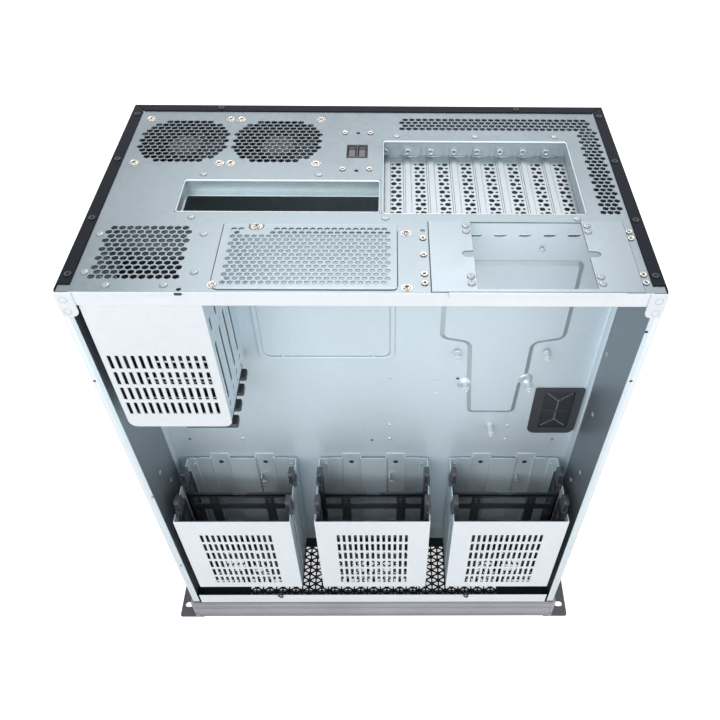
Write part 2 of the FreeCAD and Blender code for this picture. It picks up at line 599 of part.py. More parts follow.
def socket_module():
    """Two small moulded sockets side by side, clipped into one cut-out."""
    wide, over, deep = SOCKET
    proud, rim, edge = SOCKET_RIM
    off, thick, under, tall = TONGUE
    well = wide / 4.0 - SOCKET_WEB
    n0, n1 = SOCKET_N - over / 2.0, SOCKET_N + over / 2.0
    top = REAR_TOP + proud
    back = REAR_TOP - deep
    wells = []
    tongues = []
    for s in (-1, 1):
        cx = SOCKET_X + s * wide / 4.0
        wells.append(rect(cx - well, cx + well, n0 + edge, n1 - edge))
        tongues.append(block(cx - well - FIT, cx + well + FIT, SOCKET_N + off, SOCKET_N + off + thick,
                             REAR_TOP - under - tall, REAR_TOP - under))
    outline = rect(SOCKET_X - wide / 2.0, SOCKET_X + wide / 2.0, n0, n1)
    body = sheet("z", back, top - rim - back, outline)
    return join(body, sheet("z", top - rim, rim, outline, wells), *tongues)


# ---- rear fans -------------------------------------------------------------
def fan_frame(cx):
    """Moulded frame: square flanges, open corners, bore, hub plate and four arms."""
    half = FAN / 2.0
    z0 = REAR_IN - FAN_DEEP
    flange = FRAME_FLANGE
    screws = [point for point in fan_screw_points() if abs(point[0] - cx) < half]
    holes = [polygon(cx, FAN_N, FAN_BORE, 16)] + [polygon(a, b, FRAME_HOLE, 4) for a, b in screws]
    frame = sheet("z", z0, FAN_DEEP, rect(cx - half, cx + half, FAN_N - half, FAN_N + half), holes)
    pockets = []
    out = half + OVER
    side = half - FRAME_CORNER
    for i in (-1, 1):
        for j in (-1, 1):
            corner = [(cx + i * out, FAN_N + j * side), (cx + i * side, FAN_N + j * out),
                      (cx + i * out, FAN_N + j * out)]
            pockets.append(sheet("z", z0 + flange, FAN_DEEP - 2.0 * flange, loop(corner)))
    frame = frame.cut(pockets)
    hub = sheet("z", z0, flange, polygon(cx, FAN_N, HUB_R + 1.0, 12))
    arms = []
    for k in range(4):
        bar = Part.makeBox(FAN_BORE - HUB_R + 1.0, ARM, ARM, FreeCAD.Vector(HUB_R - 0.5, -ARM / 2.0, 0.0))
        bar.rotate(FreeCAD.Vector(0, 0, 0), FreeCAD.Vector(0, 0, 1), 45 + 90 * k)
        bar.translate(vec(cx, FAN_N, z0))
        arms.append(bar)
    return join(frame, hub, *arms)


def blade_section(radius, chord, pitch, sweep):
    """Closed thin section of one blade, square to the radius and leaning by pitch."""
    points = []
    back = CAMBER + BLADE_T
    for along, across in ((-0.5, 0.0), (0.0, CAMBER - BLADE_T), (0.5, 0.0), (0.5, BLADE_T), (0.0, back),
                          (-0.5, BLADE_T)):
        run = chord * along * math.cos(pitch) - across * math.sin(pitch)
        rise = chord * along * math.sin(pitch) + across * math.cos(pitch)
        points.append(FreeCAD.Vector(radius, run + sweep, rise))
    return Part.makePolygon(points + [points[0]])


def fan_rotor(cx):
    """Round hub and swept blades, each lofted from root to tip and clear inside the bore."""
    z0 = REAR_IN - FAN_DEEP + FRAME_FLANGE + GAP
    tall = FAN_DEEP - ROTOR_SHORT
    corner = TIP_CHORD / 2.0 * math.cos(TIP_PITCH) + TIP_SWEEP
    tip = math.sqrt((FAN_BORE - TIP_GAP) ** 2 - corner ** 2)
    hub = Part.makeCylinder(HUB_R, tall, FreeCAD.Vector(0, 0, z0))
    root = blade_section(HUB_R - CAMBER, ROOT_CHORD, ROOT_PITCH, 0.0)
    end = blade_section(tip, TIP_CHORD, TIP_PITCH, TIP_SWEEP)
    blade = Part.makeLoft([root, end], True, True)
    blade.translate(FreeCAD.Vector(0, 0, z0 + tall / 2.0))
    blades = []
    for k in range(BLADES):
        other = blade.copy()
        other.rotate(FreeCAD.Vector(0, 0, 0), FreeCAD.Vector(0, 0, 1), 360.0 * k / BLADES)
        blades.append(other)
    rotor = hub.fuse(blades)
    rotor.translate(vec(cx, FAN_N, 0))
    return rotor


# ---- tray ------------------------------------------------------------------
TEE_X = PSU_X + TEE_SHIFT
TRAY_BOTTOM = FRONT_IN + TRAY_END


def grommet_box():
    """Left, right, low and high edges of the grommet flange on the tray."""
    wide, tall = GROMMET
    side, deep = GROMMET_AT
    right = WALL_IN - side
    top = REAR_TOP - deep
    return right - wide, right, top - tall, top


def mid_tray():
    """Tray across the case, its flanges bent to the near side, with pressed panels."""
    path = [(-WALL_IN, TRAY_N - TRAY_FLANGE), (-WALL_IN, TRAY_N + SHEET), (WALL_IN, TRAY_N + SHEET),
            (WALL_IN, TRAY_N - TRAY_FLANGE)]
    top = REAR_IN - WALL - FIT
    body = sheet("z", TRAY_BOTTOM, top - TRAY_BOTTOM, folded(path[::-1], SHEET, BEND))
    n0, n1 = TRAY_N - OVER, TRAY_N + SHEET + OVER
    x0, x1, z0, z1 = grommet_box()
    cuts = [block(x0 + NECK, x1 - NECK, n0, n1, z0 + NECK, z1 - NECK)]
    count, pitch, long, deep, wide = TRAY_SLOTS
    for k in range(count):
        cx = TEE_X + pitch * (k - (count - 1) / 2.0)
        z = REAR_TOP - deep
        cuts.append(block(cx - long / 2.0, cx + long / 2.0, n0, n1, z - wide / 2.0, z + wide / 2.0))
    for x, deep in TRAY_HOLES:
        cuts.append(sheet("n", n0, n1 - n0, polygon(x, REAR_TOP - deep, PIN_R)))
    body = body.cut(cuts)
    rim = FRAME_RIM
    high, low = [REAR_TOP - deep for deep in FRAME_DEEP]
    left, right = BLANK[0] + rim, BLANK[1] - rim
    outline = rounded([(left, low), (right, low), (right, high), (left, high)], [2.0 * rim, 2.0 * rim, 0, 0])
    frame = sheet("n", TRAY_N - EMBOSS, EMBOSS + SHEET / 2.0, outline,
                  [rect(left + rim, right - rim, low + rim, high - rim)])
    tee = rounded([(TEE_X + x, REAR_TOP - deep) for x, deep, _ in TEE], [radius for _, _, radius in TEE])
    return join(body, frame, sheet("n", TRAY_N - EMBOSS, EMBOSS + SHEET / 2.0, tee))


def on_tee(x, deep):
    return abs(x - TEE_X) < TEE[5][0] and TEE[6][1] < deep < TEE[0][1]


def standoffs():
    """Board and card posts: a six-sided body with a thinner tip."""
    parts = []
    for x, deep, tall in STANDOFFS:
        at = PSU_X + x
        base = TRAY_N - (EMBOSS if on_tee(at, deep) else 0.0)
        post = sheet("n", base - tall, tall, polygon(at, REAR_TOP - deep, POST_R))
        radius, rise = POST_TIP
        parts.append(join(post, sheet("n", base - tall - rise, rise, polygon(at, REAR_TOP - deep, radius))))
    return parts


def cable_grommet():
    """Rubber grommet: flange on the near face, neck through the tray, sunk membrane."""
    x0, x1, z0, z1 = grommet_box()
    inner = NECK + GAP / 2.0
    t = GROMMET_LIP
    well = rect(x0 + NECK + 2.0 * t, x1 - NECK - t, z0 + NECK + t, z1 - NECK + t / 2.0)
    lip = sheet("n", TRAY_N - t, t, rect(x0, x1, z0, z1, NECK + OVER), [well])
    hole = rect(x0 + inner, x1 - inner, z0 + inner, z1 - inner)
    neck = sheet("n", TRAY_N - t / 2.0, t / 2.0 + SHEET + FIT, hole)
    return join(lip, neck)


# ---- rear cage -------------------------------------------------------------
def rear_cage():
    """Cage for four small drives: slotted face, drilled wall, feet on the tray, stop plate."""
    x0, x1 = RC_X
    t = CAGE_T
    slots = []
    low, high = RC_SLOTS
    for column in range(SLOT_COLUMNS):
        a = (x0 + x1) / 2.0 + SLOT_STEP * (column - (SLOT_COLUMNS - 1) / 2.0)
        slots.append(rect(a - SLOT_WIDE / 2.0, a + SLOT_WIDE / 2.0, RC_Z0 + low, RC_Z0 + high))
    top = REAR_IN - BEND
    curve, wall_curve = RC_CORNER
    outline = rounded([(x0, RC_Z0), (x1, RC_Z0), (x1, top), (x0, top)], [curve, curve, 0, 0])
    face = sheet("n", CAGE_NEAR, t, outline, slots)
    long_slots = []
    for n in SSD_N:
        mid = n + SSD_HIGH / 2.0
        for low, high in RC_WALL_SLOTS:
            long_slots.append(rect(mid - RC_SLOT / 2.0, mid + RC_SLOT / 2.0, RC_Z0 + low, RC_Z0 + high))
    start = RC_Z0 + curve
    shape = rounded([(CAGE_NEAR, start), (TRAY_N, start), (TRAY_N, REAR_IN), (CAGE_NEAR, REAR_IN)],
                    [0, wall_curve, 0, 2.0 * BEND])
    walls = [sheet("x", x1 - t, t, shape, long_slots), sheet("x", x0, t, shape)]
    out, up = RC_FOOT
    feet = [block(x1 - t, x1 + out, TRAY_N - t, TRAY_N, RC_Z0 + up, REAR_IN),
            block(x0, x0 + out, TRAY_N - t, TRAY_N, RC_Z0 + up, REAR_IN)]
    side = SSD_WINDOW[0]
    stop = sheet("z", RC_Z0 + SSD_LONG + SSD_STOP, t, rect(x0, x1, CAGE_NEAR, TRAY_N),
                 [rect(x0 + side, x1 - side, CAGE_NEAR + PULL_WALL, TRAY_N - wall_curve)])
    return join(face, *(walls + feet + [stop]))


def ssd_tray(near):
    """Sliding carrier: base sheet, two side rails and a moulded pull at its lower end."""
    x0 = RC_X[0] + CAGE_T + GAP
    x1 = RC_X[1] - CAGE_T - GAP
    z0 = RC_Z0 - 2.0 * GAP
    z1 = RC_Z0 + SSD_LONG + SSD_STOP - GAP
    far = near + SSD_HIGH
    path = [(x0, near), (x0, far), (x1, far), (x1, near)]
    body = sheet("z", z0, z1 - z0, folded(path[::-1], SLED_T, 0.0))
    side, low, high = SSD_WINDOW
    window = block(x0 + side, x1 - side, far - SLED_T - OVER, far + OVER, z0 + low, z1 - high)
    down, out = PULL
    inset, well = PULL_IN
    wall = PULL_WALL
    hollow = rect(x0 + well, x1 - well, near + wall, far - wall)
    grip = rounded([(x0 + inset, near), (RC_X[1] + out, near), (RC_X[1] + out, far), (x0 + inset, far)],
                   [inset, wall + OVER, wall + OVER, inset])
    return join(body.cut(window), sheet("z", z0 - down, down + 0.2, grip, [hollow]))


# ---- front cages -----------------------------------------------------------
def drive_cage(cx):
    """Cage shell: slotted near face folded into two side walls, stop lips along the bottom."""
    half = CAGE_W / 2.0
    t = CAGE_T
    path = [(cx - half, CAGE_FAR), (cx - half, CAGE_NEAR), (cx + half, CAGE_NEAR), (cx + half, CAGE_FAR)]
    shell = sheet("z", CAGE_Z0, CAGE_HIGH, folded(path, t, BEND))
    cuts = []
    for below in SLOT_ROWS:
        for column in range(SLOT_COLUMNS):
            a = cx + SLOT_STEP * (column - (SLOT_COLUMNS - 1) / 2.0)
            top = CAGE_Z1 - below
            cuts.append(block(a - SLOT_WIDE / 2.0, a + SLOT_WIDE / 2.0, CAGE_NEAR - OVER,
                              CAGE_NEAR + t + OVER, top - SLOT_LONG, top))
    left, right = cx - half - OVER, cx + half + OVER
    low, high, bottom, top = SPRING_SLOT
    for n in SLED_N.values():
        cuts.append(block(left, right, n + LATCH_NOTCH[0], n + LATCH_NOTCH[1], CAGE_Z1 - LATCH[0] / 2.0,
                          CAGE_Z1 + OVER))
        cuts.append(block(left, right, n + low, n + high, CAGE_Z0 + bottom, CAGE_Z0 + top))
    lips = []
    for s in (-1, 1):
        low, high = sorted((cx + s * (half - t / 2.0), cx + s * (half - STOP_LIP)))
        lips.append(block(low, high, CAGE_NEAR + t / 2.0, CAGE_FAR, CAGE_Z0, CAGE_Z0 + t))
    return join(shell.cut(cuts), *lips)


def back_plate(cx):
    """Far wall of a cage: one sheet stepped back along two columns to the tray."""
    half = CAGE_W / 2.0
    t = CAGE_T
    deep = TRAY_N - t
    path = [(cx - half, CAGE_FAR), (cx - COLUMN_OUT, CAGE_FAR), (cx - COLUMN_OUT, deep),
            (cx - COLUMN_IN, deep), (cx - COLUMN_IN, CAGE_FAR),
            (cx + COLUMN_IN, CAGE_FAR), (cx + COLUMN_IN, deep),
            (cx + COLUMN_OUT, deep), (cx + COLUMN_OUT, CAGE_FAR), (cx + half, CAGE_FAR)]
    body = sheet("z", CAGE_Z0, CAGE_HIGH, folded(path, t, 0.0))
    middle = (COLUMN_IN + COLUMN_OUT) / 2.0
    reach = (COLUMN_OUT - COLUMN_IN) / 2.0 - t
    tab, below, radius = TAB
    tabs = []
    drills = []
    for s in (-1, 1):
        at = cx + s * middle
        tabs.append(block(at - reach, at + reach, deep, TRAY_N, CAGE_Z1 - tab, CAGE_Z1 + COLUMN_UP))
        drills.append(sheet("n", deep - OVER, t + 2.0 * OVER, polygon(at, CAGE_Z1 - below, radius)))
    at, long, off, tall, below = HOOK
    hook_x = cx + COLUMN_IN + at
    hook = folded([(hook_x + long, CAGE_FAR - off), (hook_x, CAGE_FAR - off), (hook_x, deep)], t, 0.0)
    return join(join(body, *tabs).cut(drills), sheet("z", CAGE_Z1 - below, tall, hook))


def drive_sled(cx, near):
    """Tool-less carrier: a channel of plate and rails, zigzag springs and two sprung latches."""
    half = CAGE_W / 2.0 - CAGE_T - GAP
    z0 = CAGE_Z0 + CAGE_T + GAP
    top = CAGE_Z1 - SLED_SHORT
    latch_long, latch_wide = LATCH
    latch_z = CAGE_Z1 - latch_long / 2.0 + LATCH_RISE
    far = near + SLED_HIGH
    path = [(cx - half, far), (cx - half, near), (cx + half, near), (cx + half, far)]
    face = near + SLED_T
    channel = loop(path + [(cx + half - RAIL_T, far), (cx + half - RAIL_T, face),
                           (cx - half + RAIL_T, face), (cx - half + RAIL_T, far)])
    end = latch_z + OVER
    body = sheet("z", z0, end - z0, channel)
    n0, n1 = near - OVER, face + OVER
    thumb, dip = THUMB
    cuts = [block(cx - half + RAIL_T, cx + half - RAIL_T, n0, n1, top, end + OVER),
            block(cx - thumb, cx + thumb, n0, n1, top - dip, top + OVER)]
    bar = SLED_BAR
    columns = ((SLED_EDGE - half, -LEG_X - bar), (bar - LEG_X, LEG_X - bar), (LEG_X + bar, half - SLED_EDGE))
    for low, high in SLED_ROWS:
        for a, b in columns:
            cuts.append(block(cx + a, cx + b, n0, n1, z0 + low, z0 + high))
    body = body.cut(cuts)
    g0 = near + GRIP_IN
    g1 = g0 + latch_wide
    peak = latch_z + latch_long
    grip = loop([(g0, latch_z), (g1, latch_z), (g1, peak), (g0 + GRIP_EASE, peak), (g0, peak - GRIP_EASE)])
    turns, below, step, spring_near, spring_far, wide, thick = SPRING
    coil = []
    for k in range(turns):
        coil.append((near + (spring_near if k % 2 else spring_far), latch_z - below + step * k))
    spring = folded(coil, wide, 0.0)
    parts = []
    reach = CAGE_W / 2.0 + LATCH_OUT
    for s in (-1, 1):
        inner = cx + s * (half - RAIL_T)
        parts.append(sheet("x", min(inner, cx + s * reach), reach - half + RAIL_T, grip))
        parts.append(sheet("x", min(inner, inner - s * thick), thick, spring))
    return join(body, *parts)


# ---- front -----------------------------------------------------------------
def front_panel():
    """Chassis front wall: near lip folded up, large windows for the air intake."""
    half = WALL_IN - FIT
    bar = WINDOW_BAR
    low, high = WINDOW_NEAR, CAGE_FAR - WINDOW_CAGE
    outer = half - WINDOW_SIDE
    inner = outer - WINDOW_OUTER - bar
    windows = [rect(-outer, WINDOW_OUTER - outer, low, high), rect(outer - WINDOW_OUTER, outer, low, high)]
    wide = (2.0 * inner - 2.0 * bar) / 3.0
    broad = (2.0 * outer - 2.0 * bar) / 3.0
    for k in range(3):
        a = -inner + k * (wide + bar)
        windows.append(rect(a, a + wide, low, high))
        a = -outer + k * (broad + bar)
        windows.append(rect(a, a + broad, TRAY_N + SHEET + WINDOW_TRAY, HIGH - WINDOW_SIDE))
    reach = HALF - LIP - FIT - GAP
    turn = SHEET + BEND
    plate = sheet("z", FRONT_Z, SHEET, rect(-half, half, NEAR + FIT, FAR_IN - FIT), windows)
    plate = plate.cut(block(-reach, reach, 0.0, turn, FRONT_Z - OVER, FRONT_IN + OVER))
    lip = folded([(0.0, FRONT_Z + FRONT_LIP), (0.0, FRONT_Z), (turn, FRONT_Z)], SHEET, BEND)
    return join(plate, sheet("x", -reach, 2.0 * reach, lip))


def front_mesh():
    """Painted intake screen between the bezel and the chassis front wall."""
    side, near, far = MESH_IN
    half = WALL_IN - side
    edge = half - side
    start, radius, pitch = MESH_NEAR
    holes = vent(-edge, edge, start, CAGE_FAR - WINDOW_CAGE, pitch, radius)
    start, radius, pitch = MESH_FAR
    holes += vent(-edge, edge, TRAY_N + start, HIGH - far - near, pitch, radius)
    return sheet("z", FRONT_Z - SKIN, SKIN, rect(-half, half, near, HIGH - far), holes)


def mesh_hooks():
    """Two small hooks that hold the screen over the front panel's lip."""
    at, wide, thick, over = MESH_HOOK
    top = FRONT_Z + FRONT_LIP + over
    low = FRONT_IN + BEND
    out = SHEET + thick
    under = top - over + FIT
    profile = [(SHEET, low), (out, low), (out, top), (0.0, top), (0.0, under), (SHEET, under)]
    return [sheet("x", x - wide / 2.0, wide, loop(profile)) for x in (-at, at)]


def bezel_frame():
    """Hollow bezel frame in front of the intake screen, grooved along its near side."""
    n0, n1 = BEZEL_SET, HIGH - BEZEL_SET
    w = BEZEL_WALL
    outline = rect(-BEZEL_HALF, BEZEL_HALF, n0, n1)
    window = rect(-BEZEL_HALF + w, BEZEL_HALF - w, n0 + w, n1 - w)
    ring = sheet("z", EAR_T, FRONT_Z - SKIN - EAR_T, outline, [window])
    wide, deep = GROOVE
    for z in GROOVES:
        ring = ring.cut(block(-BEZEL_HALF - OVER, BEZEL_HALF + OVER, n0 - OVER, n0 + deep, z, z + wide))
    return ring


def rack_ear():
    """Right-hand ear: slotted face plate, leg along the bezel, stepped tongue on the body."""
    outer = RACK_W / 2.0
    n0, n1 = BEZEL_SET, HIGH - BEZEL_SET
    long, wide = EAR_SLOT
    slots = []
    for s in (-1, 1):
        n = HIGH / 2.0 + s * HOLE_N / 2.0
        a = outer - HOLE_IN
        slots.append(rect(a - long / 2.0, a + long / 2.0, n - wide / 2.0, n + wide / 2.0, wide / 2.0 - 0.01))
    lap = BEZEL_HALF - EAR_LAP
    ease = EAR_EASE
    outline = loop([(lap, n0), (outer - ease, n0), (outer, n0 + ease), (outer, n1 - ease), (outer - ease, n1),
                    (lap, n1)])
    face = sheet("z", 0.0, EAR_T, outline, slots)
    side = BEZEL_HALF + EAR_LEG
    leg_top = FRONT_Z - LEG_SHORT
    leg = block(BEZEL_HALF, side, n0, n1, EAR_T / 2.0, leg_top)
    out = HALF + TONGUE_OUT
    end = FRONT_Z + TONGUE_LONG
    under = FRONT_Z - SKIN + FIT
    step = [(BEZEL_HALF, leg_top), (side, leg_top), (side, FRONT_IN), (out, FRONT_IN),
            (out, end), (HALF, end), (HALF, under), (BEZEL_HALF, under)]
    tongue = sheet("n", TONGUE_IN, HIGH - 2.0 * TONGUE_IN, loop(step))
    return join(face, leg, tongue)


# ---- fasteners -------------------------------------------------------------
def heads_z(points, radius, tall, z=REAR_TOP):
    return [sheet("z", z, tall, polygon(x, n, radius)) for x, n in points]


def heads_n(points, radius, tall, n):
    """Heads standing toward the near side from a face at n."""
    return [sheet("n", n - tall, tall, polygon(x, z, radius)) for x, z in points]


def bay_rivets():
    """Rivets of the recess box and of the small drive cage's vent, on the rear panel."""
    left, _, near, far = SLOT_OPEN
    io_l, _, _, io_f = IO_OPEN
    bay = [(io_l + a, io_f + b) for a, b in RIVETS_IO]
    bay += [(left + a, far + b) for a, b in RIVETS_SLOTS]
    bay += [(left + a, near - b) for a, b in RIVETS_NEAR]
    return bay + [(RC_X[0] + a, n) for a, n in RIVETS_CAGE]


def panel_screw_points():
    """Screws round the sockets and along both sides of the power supply bracket."""
    around = [(SOCKET_X + a, SOCKET_N + b) for a, b in SOCKET_SCREWS]
    left = [(PSU_X - PSU_W / 2.0 - PSU_SCREWS_OUT[0], n) for n in PSU_SCREWS_LEFT]
    right = [(PSU_X + PSU_W / 2.0 + PSU_SCREWS_OUT[1], n) for n in PSU_SCREWS_RIGHT]
    return around + left + right


def main():
    os.makedirs("parts", exist_ok=True)
    for name, shape in (("side_panel", side_panel()), ("side_wall", side_wall()),
                        ("corner_plate", corner_plate()), ("rack_ear", rack_ear())):
        save(name + "_right", shape)
        save(name + "_left", mirrored(shape))
    save("top_cover", top_cover())
    save("rear_panel", rear_panel())
    save("io_slot_bay", io_slot_bay())
    for i in range(SLOT_COUNT):
        save("slot_cover_%d" % (i + 1), slot_cover(i))
    save("psu_blank_plate", psu_blank())
    save("psu_bracket", psu_bracket())
    save("socket_module", socket_module())
    for i, x in enumerate(FAN_X):
        save("fan_%d_frame" % (i + 1), fan_frame(x))
        save("fan_%d_rotor" % (i + 1), fan_rotor(x))
    save("mid_tray", mid_tray())
    save("cable_grommet", cable_grommet())
    save("rear_cage", rear_cage())
    for i, n in enumerate(SSD_N):
        save("ssd_tray_%d" % (i + 1), ssd_tray(n))
    for name, x in CAGE_X.items():
        save("drive_cage_" + name, drive_cage(x))
        save("cage_back_" + name, back_plate(x))
        for row, n in SLED_N.items():
            save("sled_%s_%s" % (name, row), drive_sled(x, n))
    save("front_panel", front_panel())
    save("front_mesh", front_mesh())
    save("mesh_hooks", *mesh_hooks())
    save("bezel_frame", bezel_frame())
    save("tray_standoffs", *standoffs())
    save("fan_screws", *heads_z(fan_screw_points(), *FAN_HEAD))
    rows = list(FLANGE_SCREWS) + [HIGH - FLANGE_LAST]
    flange = [(s * (HALF - FLANGE_IN), n) for s in (-1, 1) for n in rows]
    flange += [(s * COVER_SCREWS[0], HIGH - COVER_SCREWS[1]) for s in (-1, 1)]
    save("flange_screws", *heads_z(flange, *FLANGE_HEAD, DEEP))
    save("panel_rivets", *heads_z(bay_rivets(), *RIVET_HEAD))
    save("panel_screws", *heads_z(panel_screw_points(), *SCREW_HEAD))
    x0, x1, n0, n1 = BLANK
    at, near, out, far = BLANK_SCREWS
    blank = [(x0 + at, n1 - near), (x1 + out, n1 - far), (x1 + out, n0 + near)]
    save("blank_screws", *heads_z(blank, *BLANK_HEAD))
    rows = list(STUDS_NEAR) + [PSU_FAR - down for down in STUDS_FAR]
    studs = [(PSU_X + s * (PSU_BAY + STUDS_OUT), n) for s in (-1, 1) for n in rows]
    save("bracket_studs", *heads_z(studs, *STUD_HEAD, REAR_TOP + SHEET))
    corners = [(s * (HALF - CORNER_IN), REAR_TOP - deep) for s in (-1, 1) for deep in CORNER_DEEP]
    save("corner_rivets", *heads_n(corners, CORNER_HEAD, NEAR - CORNER_T, NEAR - CORNER_T))
    tabs = [(SLOT_X + i * SLOT_PITCH, REAR_TOP - SLOT_SCREW) for i in range(SLOT_COUNT)]
    save("slot_screws", *heads_n(tabs, *SLOT_HEAD, SLOT_OPEN[3] - FIT / 2.0 - COVER_T))
    nubs = []
    for x, deep in TRAY_SCREWS:
        face = TRAY_N - (EMBOSS if on_tee(x, deep) else 0.0)
        nubs += heads_n([(x, REAR_TOP - deep)], *TRAY_HEAD, face)
    save("tray_screws", *nubs)


main()
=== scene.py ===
import math
import bmesh
import bpy
from mathutils import Matrix, Vector


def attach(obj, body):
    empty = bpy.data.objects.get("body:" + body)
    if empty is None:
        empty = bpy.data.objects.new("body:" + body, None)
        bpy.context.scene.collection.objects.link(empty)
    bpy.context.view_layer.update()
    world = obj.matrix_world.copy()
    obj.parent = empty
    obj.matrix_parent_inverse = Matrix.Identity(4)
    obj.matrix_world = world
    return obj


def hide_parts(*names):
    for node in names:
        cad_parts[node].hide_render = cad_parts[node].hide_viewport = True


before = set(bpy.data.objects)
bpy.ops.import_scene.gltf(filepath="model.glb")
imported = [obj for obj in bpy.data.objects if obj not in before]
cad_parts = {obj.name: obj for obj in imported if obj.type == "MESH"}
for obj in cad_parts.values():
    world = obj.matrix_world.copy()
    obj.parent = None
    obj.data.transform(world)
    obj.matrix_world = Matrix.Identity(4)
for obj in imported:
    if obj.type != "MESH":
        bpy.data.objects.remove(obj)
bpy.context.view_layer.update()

bl_info = {
    "name": "Rackmount server case",
    "version": (1, 0, 0),
    "blender": (4, 5, 0),
    "location": "3D View > Sidebar > Server case",
    "description": "Sheet metal, cages, sleds and finishes of an empty 6U rackmount case",
    "category": "Object",
}

# Sizes are in millimetres: x to the right, n from the open near side to the far
# cover, z from the front bezel up to the rear panel.
MM = 0.001
HIGH = 260.0
DEEP = 532.0
PANEL_TOP = 531.0
WALL_IN, WALL_OUT, SKIN_OUT = 213.0, 214.0, 215.0   # faces of the inner wall and the skin
WALL_LOW, WALL_TOP = 47.3, 529.7
FRONT_TOP = 46.0        # bezel ends, front wall begins
FLANGE_TOP = 531.9
FAR_IN = 258.9          # inner face of the far cover
TRAY = 87.0
FAN_X = (-159.7, -78.8)
FAN_N = 200.2
SLOT_X = 14.4
SLOT_PITCH = 20.32
CAGE_X = {"left": -141.5, "middle": 1.5, "right": 143.6}
SLED_N = {"near": 13.0, "far": 48.0}
SSD_N = (5.0, 23.3, 41.6, 60.0)


# ---- outlines ---------------------------------------------------------------
def rect(a0, a1, b0, b1, radius=0.0, steps=3):
    corners = [(a0, b0), (a1, b0), (a1, b1), (a0, b1)]
    return rounded(corners, radius, steps) if radius else corners


def sided(s, a0, a1, b0, b1, radius=0.0, middle=0.0):
    """Rectangle between two distances from the middle, on the right or the left of it."""
    return rect(*sorted((middle + s * a0, middle + s * a1)), b0, b1, radius)


def flip(points, s):
    """The same outline on the side that s gives, 1 for right and -1 for left."""
    return [(s * a, b) for a, b in points]


def ring(a, b, radius, sides, turn=0.0):
    angles = [math.radians(turn + 360.0 * k / sides) for k in range(sides)]
    return [(a + radius * math.cos(t), b + radius * math.sin(t)) for t in angles]


def pill(a, b, along, across, upright=True, steps=4):
    """Slot with round ends, centred on a, b."""
    half, r = along / 2.0, across / 2.0
    if upright:
        return rect(a - r, a + r, b - half, b + half, r * 0.999, steps)
    return rect(a - half, a + half, b - r, b + r, r * 0.999, steps)


def rounded(corners, radii, steps=3):
    """Closed outline with each corner cut back to an arc of its own radius."""
    out = []
    count = len(corners)
    for i, corner in enumerate(corners):
        radius = radii[i] if isinstance(radii, (list, tuple)) else radii
        here = Vector(corner)
        back = (Vector(corners[i - 1]) - here).normalized()
        onward = (Vector(corners[(i + 1) % count]) - here).normalized()
        half = back.angle(onward) / 2.0
        if radius < 0.01 or half > 1.55:
            out.append(tuple(here))
            continue
        reach = radius / math.tan(half)
        centre = here + (back + onward).normalized() * (radius / math.sin(half))
        first = here + back * reach - centre
        last = here + onward * reach - centre
        for k in range(steps + 1):
            spoke = first.lerp(last, k / steps).normalized() * radius
            out.append(tuple(centre + spoke))
    return out


def folded(path, thick, bend):
    """Outline of a bent sheet: one face follows path, the metal lies to its left."""
    ways = [(Vector(b) - Vector(a)).normalized() for a, b in zip(path, path[1:])]
    other, near_r, far_r = [], [], []
    for i, point in enumerate(path):
        w0, w1 = ways[max(i - 1, 0)], ways[min(i, len(ways) - 1)]
        n0, n1 = Vector((-w0.y, w0.x)), Vector((-w1.y, w1.x))
        other.append(tuple(Vector(point) + (n0 + n1) * (thick / (1.0 + n0.dot(n1)))))
        turn = w0.x * w1.y - w0.y * w1.x
        inner, outer = (bend, bend + thick) if abs(turn) > 1e-6 else (0.0, 0.0)
        near_r.append(outer if turn > 0 else inner)
        far_r.append(inner if turn > 0 else outer)
    return rounded(list(path) + other[::-1], near_r + far_r[::-1], 3)


def staggered(a0, b0, columns, rows, pitch_a, pitch_b, radius, turn=30.0, sides=6, keep=None, short=1):
    """Rows of holes, every second row moved by half a pitch and shorter by `short`."""
    holes = []
    for row in range(rows):
        odd = row % 2
        for column in range(columns - odd * short):
            a, b = a0 + pitch_a * (column + 0.5 * odd), b0 + pitch_b * row
            if keep is None or keep(a, b):
                holes.append(ring(a, b, radius, sides, turn))
    return holes


SIDES = {
    "x": Matrix(((0, 0, 1, 0), (1, 0, 0, 0), (0, 1, 0, 0), (0, 0, 0, 1))),
    "n": Matrix(((1, 0, 0, 0), (0, 0, -1, 0), (0, 1, 0, 0), (0, 0, 0, 1))),
    "z": Matrix.Identity(4),
}


# ---- a piece being made ------------------------------------------------------
LOOKS = {}


def mesh_of(name, bm):
    """Mesh of a worked shape, whose working copy is let go."""
    mesh = bpy.data.meshes.new(name)
    bm.to_mesh(mesh)
    bm.free()
    return mesh


